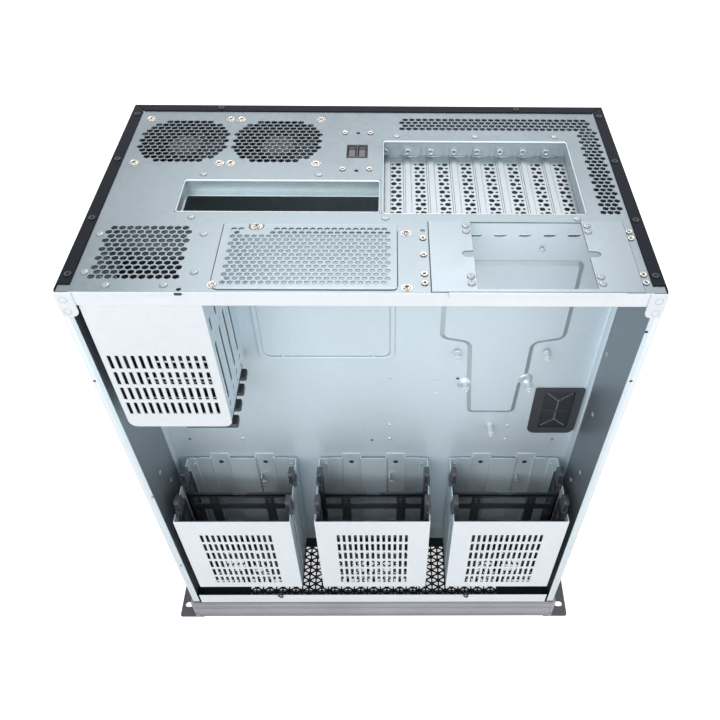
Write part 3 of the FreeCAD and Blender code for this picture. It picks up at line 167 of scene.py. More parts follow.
class Piece:
    """Gathers the worked shapes of one object, then hands it to its body."""

    def __init__(self, name, *looks):
        self.name = name
        self.looks = [LOOKS[look] for look in looks]
        self.bm = bmesh.new()

    def take(self, mesh, place=None, look=0):
        if place is not None:
            mesh.transform(place)
        if look is not None:
            mesh.polygons.foreach_set("material_index", [look] * len(mesh.polygons))
        self.bm.from_mesh(mesh)
        bpy.data.meshes.remove(mesh)

    def flat(self, side, start, thick, outline, holes=(), soft=0.15, look=0, round_steps=0):
        """Plate facing one axis: x draws (n, z), n draws (x, z), z draws (x, n)."""
        curve = bpy.data.curves.new("outline", "CURVE")
        curve.dimensions = "2D"
        curve.fill_mode = "BOTH"
        soft = min(soft, thick * 0.45)
        curve.extrude = thick / 2.0 - soft
        curve.bevel_depth = soft
        curve.bevel_resolution = round_steps
        curve.offset = -soft
        for points in [outline] + list(holes):
            spline = curve.splines.new("POLY")
            spline.points.add(len(points) - 1)
            for spot, (a, b) in zip(spline.points, points):
                spot.co = (a, b, 0.0, 1.0)
            spline.use_cyclic_u = True
        holder = bpy.data.objects.new("outline", curve)
        mesh = bpy.data.meshes.new_from_object(holder)
        bpy.data.objects.remove(holder)
        bpy.data.curves.remove(curve)
        shift = {"x": (start + thick / 2.0, 0, 0), "n": (0, start + thick / 2.0, 0),
                 "z": (0, 0, start + thick / 2.0)}[side]
        self.take(mesh, Matrix.Translation(shift) @ SIDES[side], look)

    def block(self, x0, x1, n0, n1, z0, z1, soft=0.3, look=0):
        """Box with its edges eased."""
        bm = bmesh.new()
        size = Matrix.Diagonal((abs(x1 - x0), abs(n1 - n0), abs(z1 - z0), 1.0))
        place = Matrix.Translation(((x0 + x1) / 2.0, (n0 + n1) / 2.0, (z0 + z1) / 2.0))
        bmesh.ops.create_cube(bm, size=1.0, matrix=place @ size)
        if soft:
            bmesh.ops.bevel(bm, geom=bm.edges[:], offset=soft, affect="EDGES", segments=1,
                            profile=0.5, material=-1)
        self.keep(bm, None, look)

    def keep(self, bm, place=None, look=0):
        self.take(mesh_of("part", bm), place, look)

    def turned(self, profile, place, look=0, steps=20):
        """Round body: a profile of (radius, height) points spun about its own axis."""
        bm = bmesh.new()
        spots = [bm.verts.new((r, 0.0, h)) for r, h in profile]
        edges = [bm.edges.new(pair) for pair in zip(spots, spots[1:])]
        bmesh.ops.spin(bm, geom=spots + edges, cent=(0, 0, 0), axis=(0, 0, 1),
                       angle=2.0 * math.pi, steps=steps, use_merge=True)
        bmesh.ops.remove_doubles(bm, verts=bm.verts, dist=1e-4)
        bmesh.ops.recalc_face_normals(bm, faces=bm.faces)
        self.keep(bm, place, look)

    def raised(self, n, outline, slope, height, look=0, slope_shade_look=0):
        """Pressed area standing toward the near side, with sloping edges whose faces can take a darker look
        as painted shade.
        """
        bm = bmesh.new()
        spots = [bm.verts.new((x, n + 0.5, z)) for x, z in outline]
        base = bm.faces.new(spots)
        base.normal_update()
        if base.normal.y < 0:
            base.normal_flip()
        grown = bmesh.ops.extrude_face_region(bm, geom=[base])["geom"]
        bmesh.ops.translate(bm, verts=[g for g in grown if isinstance(g, bmesh.types.BMVert)],
                            vec=(0, -0.52, 0))
        bmesh.ops.recalc_face_normals(bm, faces=bm.faces)
        cap = [g for g in grown if isinstance(g, bmesh.types.BMFace)]
        bmesh.ops.inset_region(bm, faces=cap, thickness=slope, depth=height, use_even_offset=True)
        flat_top = set(cap)
        for face in bm.faces:
            face.material_index = look if face in flat_top else slope_shade_look
        self.keep(bm, None, None)

    def done(self, node, body="chassis"):
        """Stands for one CAD node, in metres, on the body that carries it."""
        place = Matrix.Diagonal((MM, MM, MM, 1.0)) @ Matrix.Translation((0, -HIGH / 2.0, 0))
        self.bm.transform(place)
        mesh = mesh_of(self.name, self.bm)
        for look in self.looks:
            mesh.materials.append(look)
        piece = bpy.data.objects.new(self.name, mesh)
        bpy.context.scene.collection.objects.link(piece)
        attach(piece, body)
        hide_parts(node)


def toward(side, x, n, z, turn=0.0):
    """Place for a small part whose own axis is z: standing up, or out to the near side."""
    face = {"z": Matrix.Identity(4), "n": Matrix.Rotation(math.radians(90.0), 4, "X"),
            "x": Matrix.Rotation(math.radians(90.0), 4, "Y"),
            "-x": Matrix.Rotation(math.radians(-90.0), 4, "Y")}[side]
    return Matrix.Translation((x, n, z)) @ face @ Matrix.Rotation(math.radians(turn), 4, "Z")


def cross(radius, arm):
    """Outline of a cross recess."""
    r, a = radius, arm
    return [(r, -a), (r, a), (a, a), (a, r), (-a, r), (-a, a), (-r, a), (-r, -a), (-a, -a), (-a, -r),
            (a, -r), (a, -a)]


def screw_head(piece, place, radius, tall, steel=0, recess=1):
    """Pan head with a cross recess over a floor disc painted dark as the recess's shade."""
    part = Piece("head")
    part.flat("z", 0.0, tall, ring(0, 0, radius, 20), [cross(radius * 0.52, radius * 0.15)],
              soft=tall * 0.45, round_steps=2)
    piece.keep(part.bm, place, steel)
    floor = Piece("floor")
    floor.flat("z", 0.0, tall * 0.3, ring(0, 0, radius * 0.6, 12), soft=0.0)
    piece.keep(floor.bm, place, recess)


def rivet_head(piece, place, radius, tall, look=0):
    """Flat dome with a small punched dimple."""
    profile = [(radius, 0.0), (radius, 0.35 * tall), (0.86 * radius, 0.75 * tall), (0.55 * radius, tall),
               (0.34 * radius, tall), (0.28 * radius, 0.62 * tall), (0.0, 0.55 * tall)]
    piece.turned(profile, place, look, 18)


# ---- sizes and colours ------------------------------------------------------
def paint_colour(name, description, value):
    return bpy.props.FloatVectorProperty(name=name, description=description, subtype="COLOR",
                                         size=3, min=0.0, max=1.0, default=value)


class CaseColours(bpy.types.PropertyGroup):
    # The rear panel zinc is set darker than the other zinc partly as a painted dim reflection of the room
    # above, partly as the sheet's own tone.
    panel: paint_colour("Rear panel zinc", "Zinc coat of the rear panel", (0.19, 0.23, 0.26))
    zinc: paint_colour("Bright zinc", "Zinc coat of the lips and the cage backs", (0.60, 0.68, 0.72))
    tray: paint_colour("Tray zinc", "Zinc coat of the tray", (0.60, 0.70, 0.765))
    bay: paint_colour("Bay zinc", "Zinc coat of the slot and shield bay", (0.50, 0.575, 0.60))
    pale: paint_colour("Cage zinc", "Matt zinc coat of the drive cages", (0.67, 0.71, 0.745))
    # The wall zinc is set darker partly as painted shade on the walls' inner faces, partly as the sheet's own
    # duller tone.
    wall: paint_colour("Wall zinc", "Duller zinc coat of the side walls", (0.30, 0.34, 0.37))
    black: paint_colour("Skin paint", "Powder coat of the outer skins", (0.008, 0.010, 0.015))
    screen: paint_colour("Screen paint", "Paint of the intake screen", (0.012, 0.016, 0.022))
    bezel: paint_colour("Bezel grey", "Grey coat of the front bezel", (0.26, 0.26, 0.285))
    ear: paint_colour("Ear grey", "Textured coat of the rack ears", (0.085, 0.086, 0.10))
    sled: paint_colour("Sled plastic", "Moulded drive sleds", (0.013, 0.016, 0.021))
    latch: paint_colour("Latch plastic", "Sled latches and fan mouldings", (0.034, 0.035, 0.041))
    rubber: paint_colour("Grommet rubber", "Rubber of the cable grommet", (0.032, 0.037, 0.044))
    screw: paint_colour("Screw steel", "Nickel-plated heads", (0.52, 0.50, 0.47))
    rivet: paint_colour("Rivet zinc", "Flat rivet heads", (0.33, 0.37, 0.40))
    recess: paint_colour("Recess", "Shadowed floor of a cross recess", (0.16, 0.12, 0.09))
    floor: paint_colour("Floor", "Floor and backdrop", (0.90, 0.90, 0.90))


def spread(colour, factor):
    return tuple(min(1.0, c * factor) for c in colour) + (1.0,)


def add_node(tree, kind, sockets=(), **settings):
    """New node: each of its sockets takes a value, or a wire from another node's output."""
    made = tree.nodes.new(kind)
    for key, value in settings.items():
        setattr(made, key, value)
    feed(tree, made, **dict(sockets))
    return made


def feed(tree, node, **sockets):
    for key, value in sockets.items():
        if isinstance(value, bpy.types.NodeSocket):
            tree.links.new(value, node.inputs[key])
        else:
            node.inputs[key].default_value = value


class Finish:
    """A surface finish under construction: its shader, its nodes and the wires between them."""

    def __init__(self, name, metallic, roughness, level=0.5):
        self.material = bpy.data.materials.new(name)
        self.material.use_nodes = True
        self.tree = self.material.node_tree
        self.shader = self.tree.nodes["Principled BSDF"]
        self.into({"Metallic": metallic, "Roughness": roughness, "Specular IOR Level": level})
        self.coords = self.node("ShaderNodeTexCoord").outputs["Object"]

    def node(self, kind, sockets=(), **settings):
        return add_node(self.tree, kind, sockets, **settings)

    def into(self, sockets):
        """Values or wires for the shader itself."""
        feed(self.tree, self.shader, **sockets)

    def noise(self, scale, detail=2.0, stretch=(1.0, 1.0, 1.0)):
        mapping = self.node("ShaderNodeMapping", {"Scale": stretch, "Vector": self.coords})
        noise = self.node("ShaderNodeTexNoise", {"Scale": scale, "Detail": detail,
                                                 "Vector": mapping.outputs["Vector"]})
        return noise.outputs["Fac"]

    def spangle(self, scale):
        cells = self.node("ShaderNodeTexVoronoi", {"Scale": scale, "Vector": self.coords})
        return self.node("ShaderNodeRGBToBW", {"Color": cells.outputs["Color"]}).outputs["Val"]

    def blend(self, first, second, share):
        mix = self.node("ShaderNodeMix", {"Factor": share, "A": first, "B": second}, data_type="FLOAT")
        return mix.outputs["Result"]

    def tint(self, value, low, high, start=0.3, stop=0.7):
        ramp = self.node("ShaderNodeValToRGB", {"Fac": value})
        for element, place, colour in zip(ramp.color_ramp.elements, (start, stop), (low, high)):
            element.position = place
            element.color = colour
        return ramp.outputs["Color"]

    def worn(self, colour, bare, amount):
        """Lighter metal or polished coat along the outer edges; on the latches also a painted edge highlight.
        """
        shape = self.node("ShaderNodeNewGeometry")
        edge = self.node("ShaderNodeMapRange", {"From Min": 0.52, "From Max": 0.62, "To Max": amount,
                                                "Value": shape.outputs["Pointiness"]})
        mix = self.node("ShaderNodeMix", {"Factor": edge.outputs["Result"], "A": colour, "B": bare},
                        data_type="RGBA")
        return mix.outputs["Result"]

    def roughness(self, value, low, high):
        spread_out = self.node("ShaderNodeMapRange", {"From Min": 0.3, "From Max": 0.7, "To Min": low,
                                                      "To Max": high, "Value": value})
        self.into({"Roughness": spread_out.outputs["Result"]})

    def bump(self, value, strength, depth=0.0002):
        bump = self.node("ShaderNodeBump", {"Strength": strength, "Distance": depth, "Height": value})
        self.into({"Normal": bump.outputs["Normal"]})

    def colour(self, socket):
        self.into({"Base Color": socket})
        return self.material


def zinc_coat(name, colour, low=0.32, high=0.46, drawn=(1.0, 1.0, 1.0), edge=0.35, metallic=0.85, cloud=0.12):
    """Galvanised sheet: soft clouds, small spangle, drawn grain and brighter cut edges."""
    coat = Finish(name, metallic, low)
    clouds = coat.noise(9.0, 3.0, drawn)
    cells = coat.spangle(230.0)
    grain = coat.noise(900.0, 2.0, drawn)
    mixed = coat.blend(coat.blend(clouds, cells, 0.22), grain, 0.25)
    tone = coat.tint(mixed, spread(colour, 1.0 - cloud), spread(colour, 1.0 + 0.8 * cloud))
    coat.roughness(mixed, low, high)
    coat.bump(grain, 0.08, 0.00005)
    return coat.colour(coat.worn(tone, spread(colour, 1.5), edge))


def powder_coat(name, colour, rough=0.42, scale=1400.0, strength=0.35, edge=0.3, level=0.25):
    """Stoved powder paint: orange-peel bump, faint mottling, edges rubbed paler."""
    coat = Finish(name, 0.0, rough, level)
    peel = coat.noise(scale, 3.0)
    clouds = coat.noise(14.0, 3.0)
    mixed = coat.blend(clouds, peel, 0.4)
    tone = coat.tint(mixed, spread(colour, 0.82), spread(colour, 1.22))
    coat.roughness(mixed, rough - 0.06, rough + 0.08)
    coat.bump(peel, strength, 0.0002)
    return coat.colour(coat.worn(tone, spread(colour, 3.0), edge))


def moulded(name, colour, rough=0.48, edge=0.25):
    """Moulded plastic: spark-eroded grain, slight flow marks, edges paler: polish, and on the latches a
    painted edge highlight.
    """
    coat = Finish(name, 0.0, rough, 0.5)
    grain = coat.noise(2200.0, 2.0)
    flow = coat.noise(35.0, 2.0, (1.0, 1.0, 0.25))
    mixed = coat.blend(flow, grain, 0.35)
    tone = coat.tint(mixed, spread(colour, 0.8), spread(colour, 1.3))
    coat.roughness(mixed, rough - 0.08, rough + 0.1)
    coat.bump(grain, 0.25, 0.0001)
    return coat.colour(coat.worn(tone, spread(colour, 3.5), edge))


def plated(name, colour, rough=0.3, metallic=1.0):
    """Bright plated fastener with turned marks and small scratches."""
    coat = Finish(name, metallic, rough)
    marks = coat.noise(1500.0, 3.0, (1.0, 0.3, 1.0))
    tone = coat.tint(marks, spread(colour, 0.78), spread(colour, 1.12))
    coat.roughness(marks, rough - 0.08, rough + 0.12)
    coat.bump(marks, 0.15, 0.00005)
    return coat.colour(tone)


def make_looks(tone):
    # panel zinc: darkened partly as a painted dim reflection
    LOOKS["panel"] = zinc_coat("rear_panel_zinc", tone.panel, 0.34, 0.46, (1.0, 1.0, 1.0))
    LOOKS["zinc"] = zinc_coat("bright_zinc", tone.zinc, 0.40, 0.52, (1.0, 1.0, 0.35), metallic=0.7)
    LOOKS["tray"] = zinc_coat("tray_zinc", tone.tray, 0.50, 0.60, (1.0, 1.0, 0.35), 0.05, 0.45, 0.05)
    LOOKS["bay"] = zinc_coat("bay_zinc", tone.bay, 0.42, 0.54, (1.0, 1.0, 0.4), 0.12, 0.75)
    LOOKS["pale"] = zinc_coat("cage_zinc", tone.pale, 0.5, 0.62, (1.0, 1.0, 0.5), 0.1, 0.35, 0.05)
    LOOKS["wall"] = zinc_coat("wall_zinc", tone.wall, 0.4, 0.52, (1.0, 1.0, 0.3))
    # A darker copy of the wall zinc for the right wall: painted shade.
    LOOKS["wall_in_shade"] = zinc_coat("shaded_wall_zinc", spread(tone.wall, 0.84)[:3], 0.4, 0.52, (1.0, 1.0, 0.3))
    LOOKS["black"] = powder_coat("skin_black", tone.black, 0.48, edge=0.2, level=0.05)
    LOOKS["screen"] = powder_coat("screen_black", tone.screen, 0.5, edge=0.1)
    LOOKS["bezel"] = powder_coat("bezel_grey", tone.bezel, 0.42, 900.0, 0.15, 0.1)
    LOOKS["ear"] = powder_coat("ear_grey", tone.ear, 0.5, 1100.0, 0.4, 0.25)
    LOOKS["sled"] = moulded("sled_black", tone.sled)
    # Latch edges lightened strongly: partly rubbed polish, partly painted edge highlight.
    LOOKS["latch"] = moulded("latch_grey", tone.latch, 0.4, 0.5)
    LOOKS["rubber"] = moulded("grommet_rubber", tone.rubber, 0.7, 0.1)
    LOOKS["screw"] = plated("screw_nickel", tone.screw, 0.28)
    LOOKS["recess"] = plated("recess_shadow", tone.recess, 0.5, 0.5)
    LOOKS["rivet"] = plated("rivet_zinc", tone.rivet, 0.46, 0.8)


# ---- painted skins and inner walls -------------------------------------------
RAIL_HOLES = ((40.1, 259.0), (56.4, 222.5), (56.1, 332.3), (67.7, 402.1))


class CASE_OT_skins(bpy.types.Operator):
    """Painted side panels and far cover, folded over the rear edge"""
    bl_idname = "case.skins"
    bl_label = "Painted skins"

    def execute(self, context):
        for side, s in (("right", 1), ("left", -1)):
            skin = Piece("skin_" + side, "black")
            start = WALL_OUT + 0.05 if s > 0 else -SKIN_OUT
            skin.flat("x", start, 0.95, rect(2.5, FAR_IN, FRONT_TOP, FLANGE_TOP, 0.6), soft=0.2)
            edge = [(205.4, 9.0), (214.9, 9.0), (214.9, 258.8), (205.4, 249.3)]
            skin.flat("z", PANEL_TOP, 1.0, flip(edge, s), soft=0.3)
            skin.done("side_panel_" + side)
        cover = Piece("far_cover", "black", "zinc")
        cover.flat("n", 259.4, 0.6, rect(-SKIN_OUT, SKIN_OUT, FRONT_TOP, FLANGE_TOP, 0.6), soft=0.2)
        cover.flat("n", 259.0, 0.4, rect(-214.8, 214.8, 46.1, 530.8), soft=0.0, look=1)
        edge = [(-214.4, 259.9), (-204.1, 249.5), (204.1, 249.5), (214.4, 259.9)]
        cover.flat("z", PANEL_TOP, 1.0, edge, soft=0.3)
        cover.done("top_cover")
        return {"FINISHED"}


class CASE_OT_walls(bpy.types.Operator):
    """Inner side walls with their near lips, drilled for slide rails"""
    bl_idname = "case.walls"
    bl_label = "Inner walls"

    def execute(self, context):
        marks = {"right": ((209.0, 494.0), (211.2, 440.0)),
                 "left": ((214.0, 439.0), (209.0, 273.0), (211.2, 136.0))}
        for side, s in (("right", 1), ("left", -1)):
            # The right wall takes the darker copy of the wall zinc as painted shade; the pale lip of the same
            # sheet is lighter partly as painted light.
            wall = Piece("inner_wall_" + side, "wall_in_shade" if s > 0 else "wall", "tray", "recess",
                         "pale")
            holes = [ring(n, z, 1.6, 16) for n, z in RAIL_HOLES]
            holes += [pill(80.0, z, 9.0, 3.0) for z in (160.0, 300.0, 440.0)]
            start = WALL_IN if s > 0 else -WALL_OUT
            wall.flat("x", start, 1.0, rect(5.0, 255.0, WALL_LOW, WALL_TOP), holes, soft=0.0)
            lip = folded([(208.2, 1.2), (216.2, 1.2), (216.2, 4.2)], 1.0, 0.4)
            far = folded([(214.0, 255.0), (214.0, 258.95), (203.0, 258.95)], 1.0, 0.6)
            for outline, look in ((lip, 3), (far, 0)):
                wall.flat("z", WALL_LOW, WALL_TOP - WALL_LOW, flip(outline, s), soft=0.1, look=look)
            wall.flat("n", 2.1, 3.1, sided(s, WALL_IN, WALL_OUT, WALL_LOW, WALL_TOP), soft=0.0)
            # Darker tray-zinc strip on the inner part of the lip: painted shade of the folded hem.
            hem_shade_strip = sided(s, 208.3, 211.6, WALL_LOW + 0.1, WALL_TOP - 0.1)
            wall.flat("n", 1.12, 0.3, hem_shade_strip, soft=0.1, look=1)
            for n, z in RAIL_HOLES:
                wall.flat("x", 212.75 if s > 0 else -213.05, 0.3, ring(n, z, 2.3, 16), [ring(n, z, 1.5, 16)],
                          soft=0.1, look=3)
            for x, z in marks[side]:
                wall.flat("n", 1.12, 0.2, ring(s * x, z, 1.3, 12), soft=0.0, look=2)
            wall.block(s * 204.0, s * 213.2, 14.0, 245.0, 528.8, 529.75, 0.2)
            wall.done("side_wall_" + side)
            plate = Piece("corner_plate_%s_worked" % side, "pale")
            shape = rect(202.6, 214.95, 508.5, 531.0, [5.0, 0.6, 0.4, 0.4], 5)
            plate.flat("n", 0.2, 1.0, flip(shape, s), soft=0.35, round_steps=1)
            plate.done("corner_plate_" + side)
        return {"FINISHED"}


# ---- rear panel and what is fixed to it --------------------------------------
IO_OPEN = (-148.5, 11.2, 95.9, 140.5)
SLOT_OPEN = (12.9, 173.5, 94.0, 201.5)
SOCKET = (-9.0, 184.0)


class CASE_OT_rear_panel(bpy.types.Operator):
    """Rear panel with fan grilles, vents, openings and its rounded near lip"""
    bl_idname = "case.rear_panel"
    bl_label = "Rear panel"

    def execute(self, context):
        size = context.scene.case_sizes
        pitch = size.vent_pitch
        row = pitch * math.sqrt(0.75)
        hole = size.vent_hole / math.sqrt(3.0)
        holes = []
        for x in FAN_X:
            def within(a, b, middle=x):
                return math.hypot(a - middle, b - FAN_N) < 37.9 and abs(b - FAN_N) < 33.0

            holes += staggered(x - 6.5 * pitch, FAN_N - 7 * row, 14, 15, pitch, row, hole * 1.09, keep=within,
                               short=-1)
        holes += [rect(*IO_OPEN), rect(*SLOT_OPEN)]
        x, n = SOCKET
        holes += [rect(x - 8.9, x + 8.9, n - 10.4, n + 10.4)]
        holes += [ring(x + 0.2, n + s * 29.8, 1.7, 12) for s in (-1, 1)]
        holes += staggered(29.8, 221.6, 29, 4, 5.97, 5.2, hole)
        holes += staggered(186.7, 97.3, 3, 24, 5.55, 5.17, hole * 0.96, short=0)
        holes += staggered(-193.0, 18.0, 11, 12, pitch, row, hole)
        holes += [rect(-103.2, 20.4, 7.0, 70.7), rect(61.5, 185.5, 4.0, 84.0)]
        holes += [ring(44.0, 72.6, 1.8, 12), ring(-128.5, 4.4, 1.7, 12)]
        panel = Piece("rear_panel_worked", "panel", "pale", "sled")
        # The plate takes the dark panel zinc, partly a painted dim reflection.
        panel.flat("z", PANEL_TOP - 1.2, 1.2, rect(-213.9, 213.9, 1.5, FAR_IN), holes, soft=0.16)
        notch = [rect(-131.2, -125.8, 528.3, 530.2)]
        # The near lip of the same sheet takes the pale zinc, lighter than the plate partly as painted light.
        panel.flat("n", 1.2, 1.1, rect(-205.6, 205.6, 518.5, 530.9, 0.8), notch, soft=0.35,
                   look=1, round_steps=1)
        # Dark plate over the notch: painted shade of the notch.
        panel.flat("n", 1.1, 0.2, rect(-131.6, -126.8, 528.0, 530.4, 0.5), soft=0.05, look=2)
        panel.done("rear_panel")
        return {"FINISHED"}


class CASE_OT_bay(bpy.types.Operator):
    """Recess box behind the rear panel: shield seat and slot shelf with a rolled rim"""
    bl_idname = "case.bay"
    bl_label = "Slot and shield bay"

    def execute(self, context):
        bay = Piece("bay_worked", "bay", "tray")
        for left, right, near, far in (IO_OPEN, SLOT_OPEN):
            hole = rect(left + 1.0, right - 1.0, near + 0.7, far - 1.9, 1.2)
            bay.flat("z", 529.9, 1.3, rect(left, right, near, far, 2.2), [hole], soft=0.55, look=1,
                     round_steps=2)
        rim = [(-157.5, 88.4), (181.5, 88.4), (181.5, 212.5), (3.0, 212.5), (3.0, 152.5), (-157.5, 152.5)]
        bay.flat("z", 528.6, 1.15, rim, [rect(-148.4, 11.1, 96.0, 140.4), rect(13.0, 173.4, 94.1, 201.4)],
                 soft=0.1)
        aperture = rect(-147.4, 11.4, 89.6, 134.0, 1.0)
        bay.flat("z", 518.8, 1.2, rect(-149.7, 12.4, 88.4, 141.7), [aperture], soft=0.25)
        for x0, x1, n0, n1, z0 in ((-149.6, 12.3, 140.5, 141.7, 518.9), (-149.7, -148.5, 89.6, 140.4, 518.9),
                                   (11.3, 12.3, 89.6, 141.6, 518.9), (11.7, 12.9, 94.0, 202.6, 514.9),
                                   (173.5, 174.7, 94.0, 202.6, 514.9), (12.9, 173.5, 201.5, 202.7, 514.9)):
            bay.block(x0, x1, n0, n1, z0, 528.7, 0.15)
        bay.flat("z", 514.8, 1.2, rect(11.7, 174.7, 88.4, 202.7), [rect(14.1, 173.3, 96.0, 200.7)], soft=0.15)
        bay.block(-149.6, 174.6, 88.4, 89.5, 518.0, 528.7, 0.15)
        bay.done("io_slot_bay")
        return {"FINISHED"}


class CASE_OT_slot_covers(bpy.types.Operator):
    """Eight expansion slot covers: folded rib, vent strip and bent tab"""
    bl_idname = "case.slot_covers"
    bl_label = "Slot covers"

    def execute(self, context):
        for i in range(8):
            x0 = SLOT_X + i * SLOT_PITCH - 4.0
            left, right = max(x0, 13.1), min(x0 + 20.05, 173.3)
            holes = []
            for k in range(16):
                n = 187.0 - 5.94 * k
                s = -1 if k % 2 else 1
                holes.append(ring(x0 + 14.0 + s * 2.0, n, 2.6, 6, 0.0))
                holes.append(ring(x0 + 14.0 - s * 3.3, n, 1.35, 6, 0.0))
            cover = Piece("slot_cover_%d_worked" % (i + 1), "wall", "bay")
            cover.flat("z", 516.05, 0.75, rect(left, right, 91.0, 201.3), holes, soft=0.1)
            cover.flat("z", 516.6, 1.1, rect(left + 1.3, left + 6.6, 95.0, 193.0, 2.4, 4), soft=0.5,
                       round_steps=2)
            tab = min(left + 15.8, right)
            cover.flat("n", 200.6, 0.8, rect(left, tab, 516.1, 526.9, 1.2), soft=0.2, look=1)
            cover.flat("z", 516.1, 1.5, rect(left, tab, 199.2, 200.8), soft=0.45)
            cover.done("slot_cover_%d" % (i + 1))
        return {"FINISHED"}


class CASE_OT_supply_plates(bpy.types.Operator):
    """Perforated blank and the power supply bracket on the near part of the rear panel"""
    bl_idname = "case.supply_plates"
    bl_label = "Blank and supply bracket"

    def execute(self, context):
        x0, x1, n0, n1 = -107.2, 24.4, 4.0, 79.7
        outline = rounded([(x0, n0), (x1, n0), (x1, n1), (x0 + 30.5, n1), (x0 + 30.5, n1 - 8.0),
                           (x0 + 19.1, n1 - 8.0), (x0 + 19.1, n1), (x0, n1)],
                          [6.0, 3.0, 1.0, 1.0, 4.0, 4.0, 1.0, 1.0], 4)

        def clear(a, b):
            return b < n1 - 4.0 and (b < n1 - 13.0 or a > x0 + 36.0 or a < x0 + 14.0)

        holes = staggered(x0 + 8.2, n0 + 7.0, 22, 15, 5.42, 4.42, 2.15, keep=clear, short=0)
        blank = Piece("blank_plate_worked", "panel", "sled")
        blank.flat("z", PANEL_TOP + 0.02, 0.78, outline, holes, soft=0.14)
        # Thin dark strips beside the plate's left and right edges: painted shadow of the gap.
        blank.flat("z", PANEL_TOP + 0.01, 0.1, rect(x0 - 0.9, x0 + 0.1, n0 + 7.0, n1 + 0.4), soft=0.0, look=1)
        blank.flat("z", PANEL_TOP + 0.01, 0.1, rect(x1 - 0.1, x1 + 0.7, n0 + 4.0, n1 - 8.0), soft=0.0, look=1)
        # Dark U-shaped line round the notch: painted shadow of its edge.
        a, b, n = x0 + 19.3, x0 + 30.3, n1 - 7.8
        notch = folded([(a, n1), (a, n), (b, n), (b, n1)], 0.7, 3.6)
        blank.flat("z", PANEL_TOP + 0.01, 0.12, notch, soft=0.0, look=1)
        blank.done("psu_blank_plate")

        cx, half, bay = 123.5, 75.0, 42.5
        points = [(-half, 1.3), (half, 1.3), (half, 83.5), (bay, 83.5), (bay, 47.0), (bay + 8.5, 47.0),
                  (bay + 8.5, 40.0), (bay, 40.0), (bay, 4.6), (-bay, 4.6), (-bay, 40.0), (-bay - 8.5, 40.0),
                  (-bay - 8.5, 47.0), (-bay, 47.0), (-bay, 83.5), (-half, 83.5)]
        radii = [0.5, 0.5, 0.5, 0.5, 0.8, 3.4, 3.4, 0.8, 0.5, 0.5, 0.8, 3.4, 3.4, 0.8, 0.5, 0.5]
        bracket = Piece("supply_bracket_worked", "panel", "pale", "sled")
        bracket.flat("z", PANEL_TOP, 1.2, rounded([(cx + a, b) for a, b in points], radii, 5), soft=0.25)
        lip = rounded([(cx - 63.0, 531.9), (cx + 63.0, 531.9), (cx + 57.0, 526.5), (cx - 63.0, 526.5)],
                      [0.5, 0.5, 1.5, 1.5])
        # The bracket's near lip takes the pale zinc, lighter than its plate partly as painted light.
        bracket.flat("n", 0.05, 1.2, lip, soft=0.3, look=1)
        # Dark strips along both side edges of the bracket: painted shadow of the seams.
        for x in (cx - half, cx + half):
            bracket.flat("z", PANEL_TOP + 0.01, 0.1, rect(x - 0.6, x + 0.6, 1.6, 83.8), soft=0.0, look=2)
        bracket.done("psu_bracket")
        return {"FINISHED"}


class CASE_OT_sockets(bpy.types.Operator):
    """Two small moulded sockets clipped side by side into the rear panel"""
    bl_idname = "case.sockets"
    bl_label = "Rear sockets"

    def execute(self, context):
        x, n = SOCKET
        sockets = Piece("rear_sockets", "sled", "ear")
        wells = [rect(x + s * 4.35 - 3.5, x + s * 4.35 + 3.5, n - 8.6, n + 8.6, 0.4) for s in (-1, 1)]
        sockets.flat("z", 517.1, 14.3, rect(x - 8.7, x + 8.7, n - 10.2, n + 10.2, 0.8), wells, soft=0.3)
        sockets.flat("z", 517.1, 8.6, rect(x - 8.4, x + 8.4, n - 10.0, n + 10.0), soft=0.2)
        for s in (-1, 1):
            cx = x + s * 4.35
            sockets.block(cx - 3.0, cx + 3.0, n - 7.8, n + 3.4, 525.5, 530.6, 0.4, 1)
            sockets.block(cx - 3.2, cx + 3.2, n + 5.4, n + 6.6, 525.5, 530.9, 0.3, 1)
        sockets.done("socket_module")
        return {"FINISHED"}


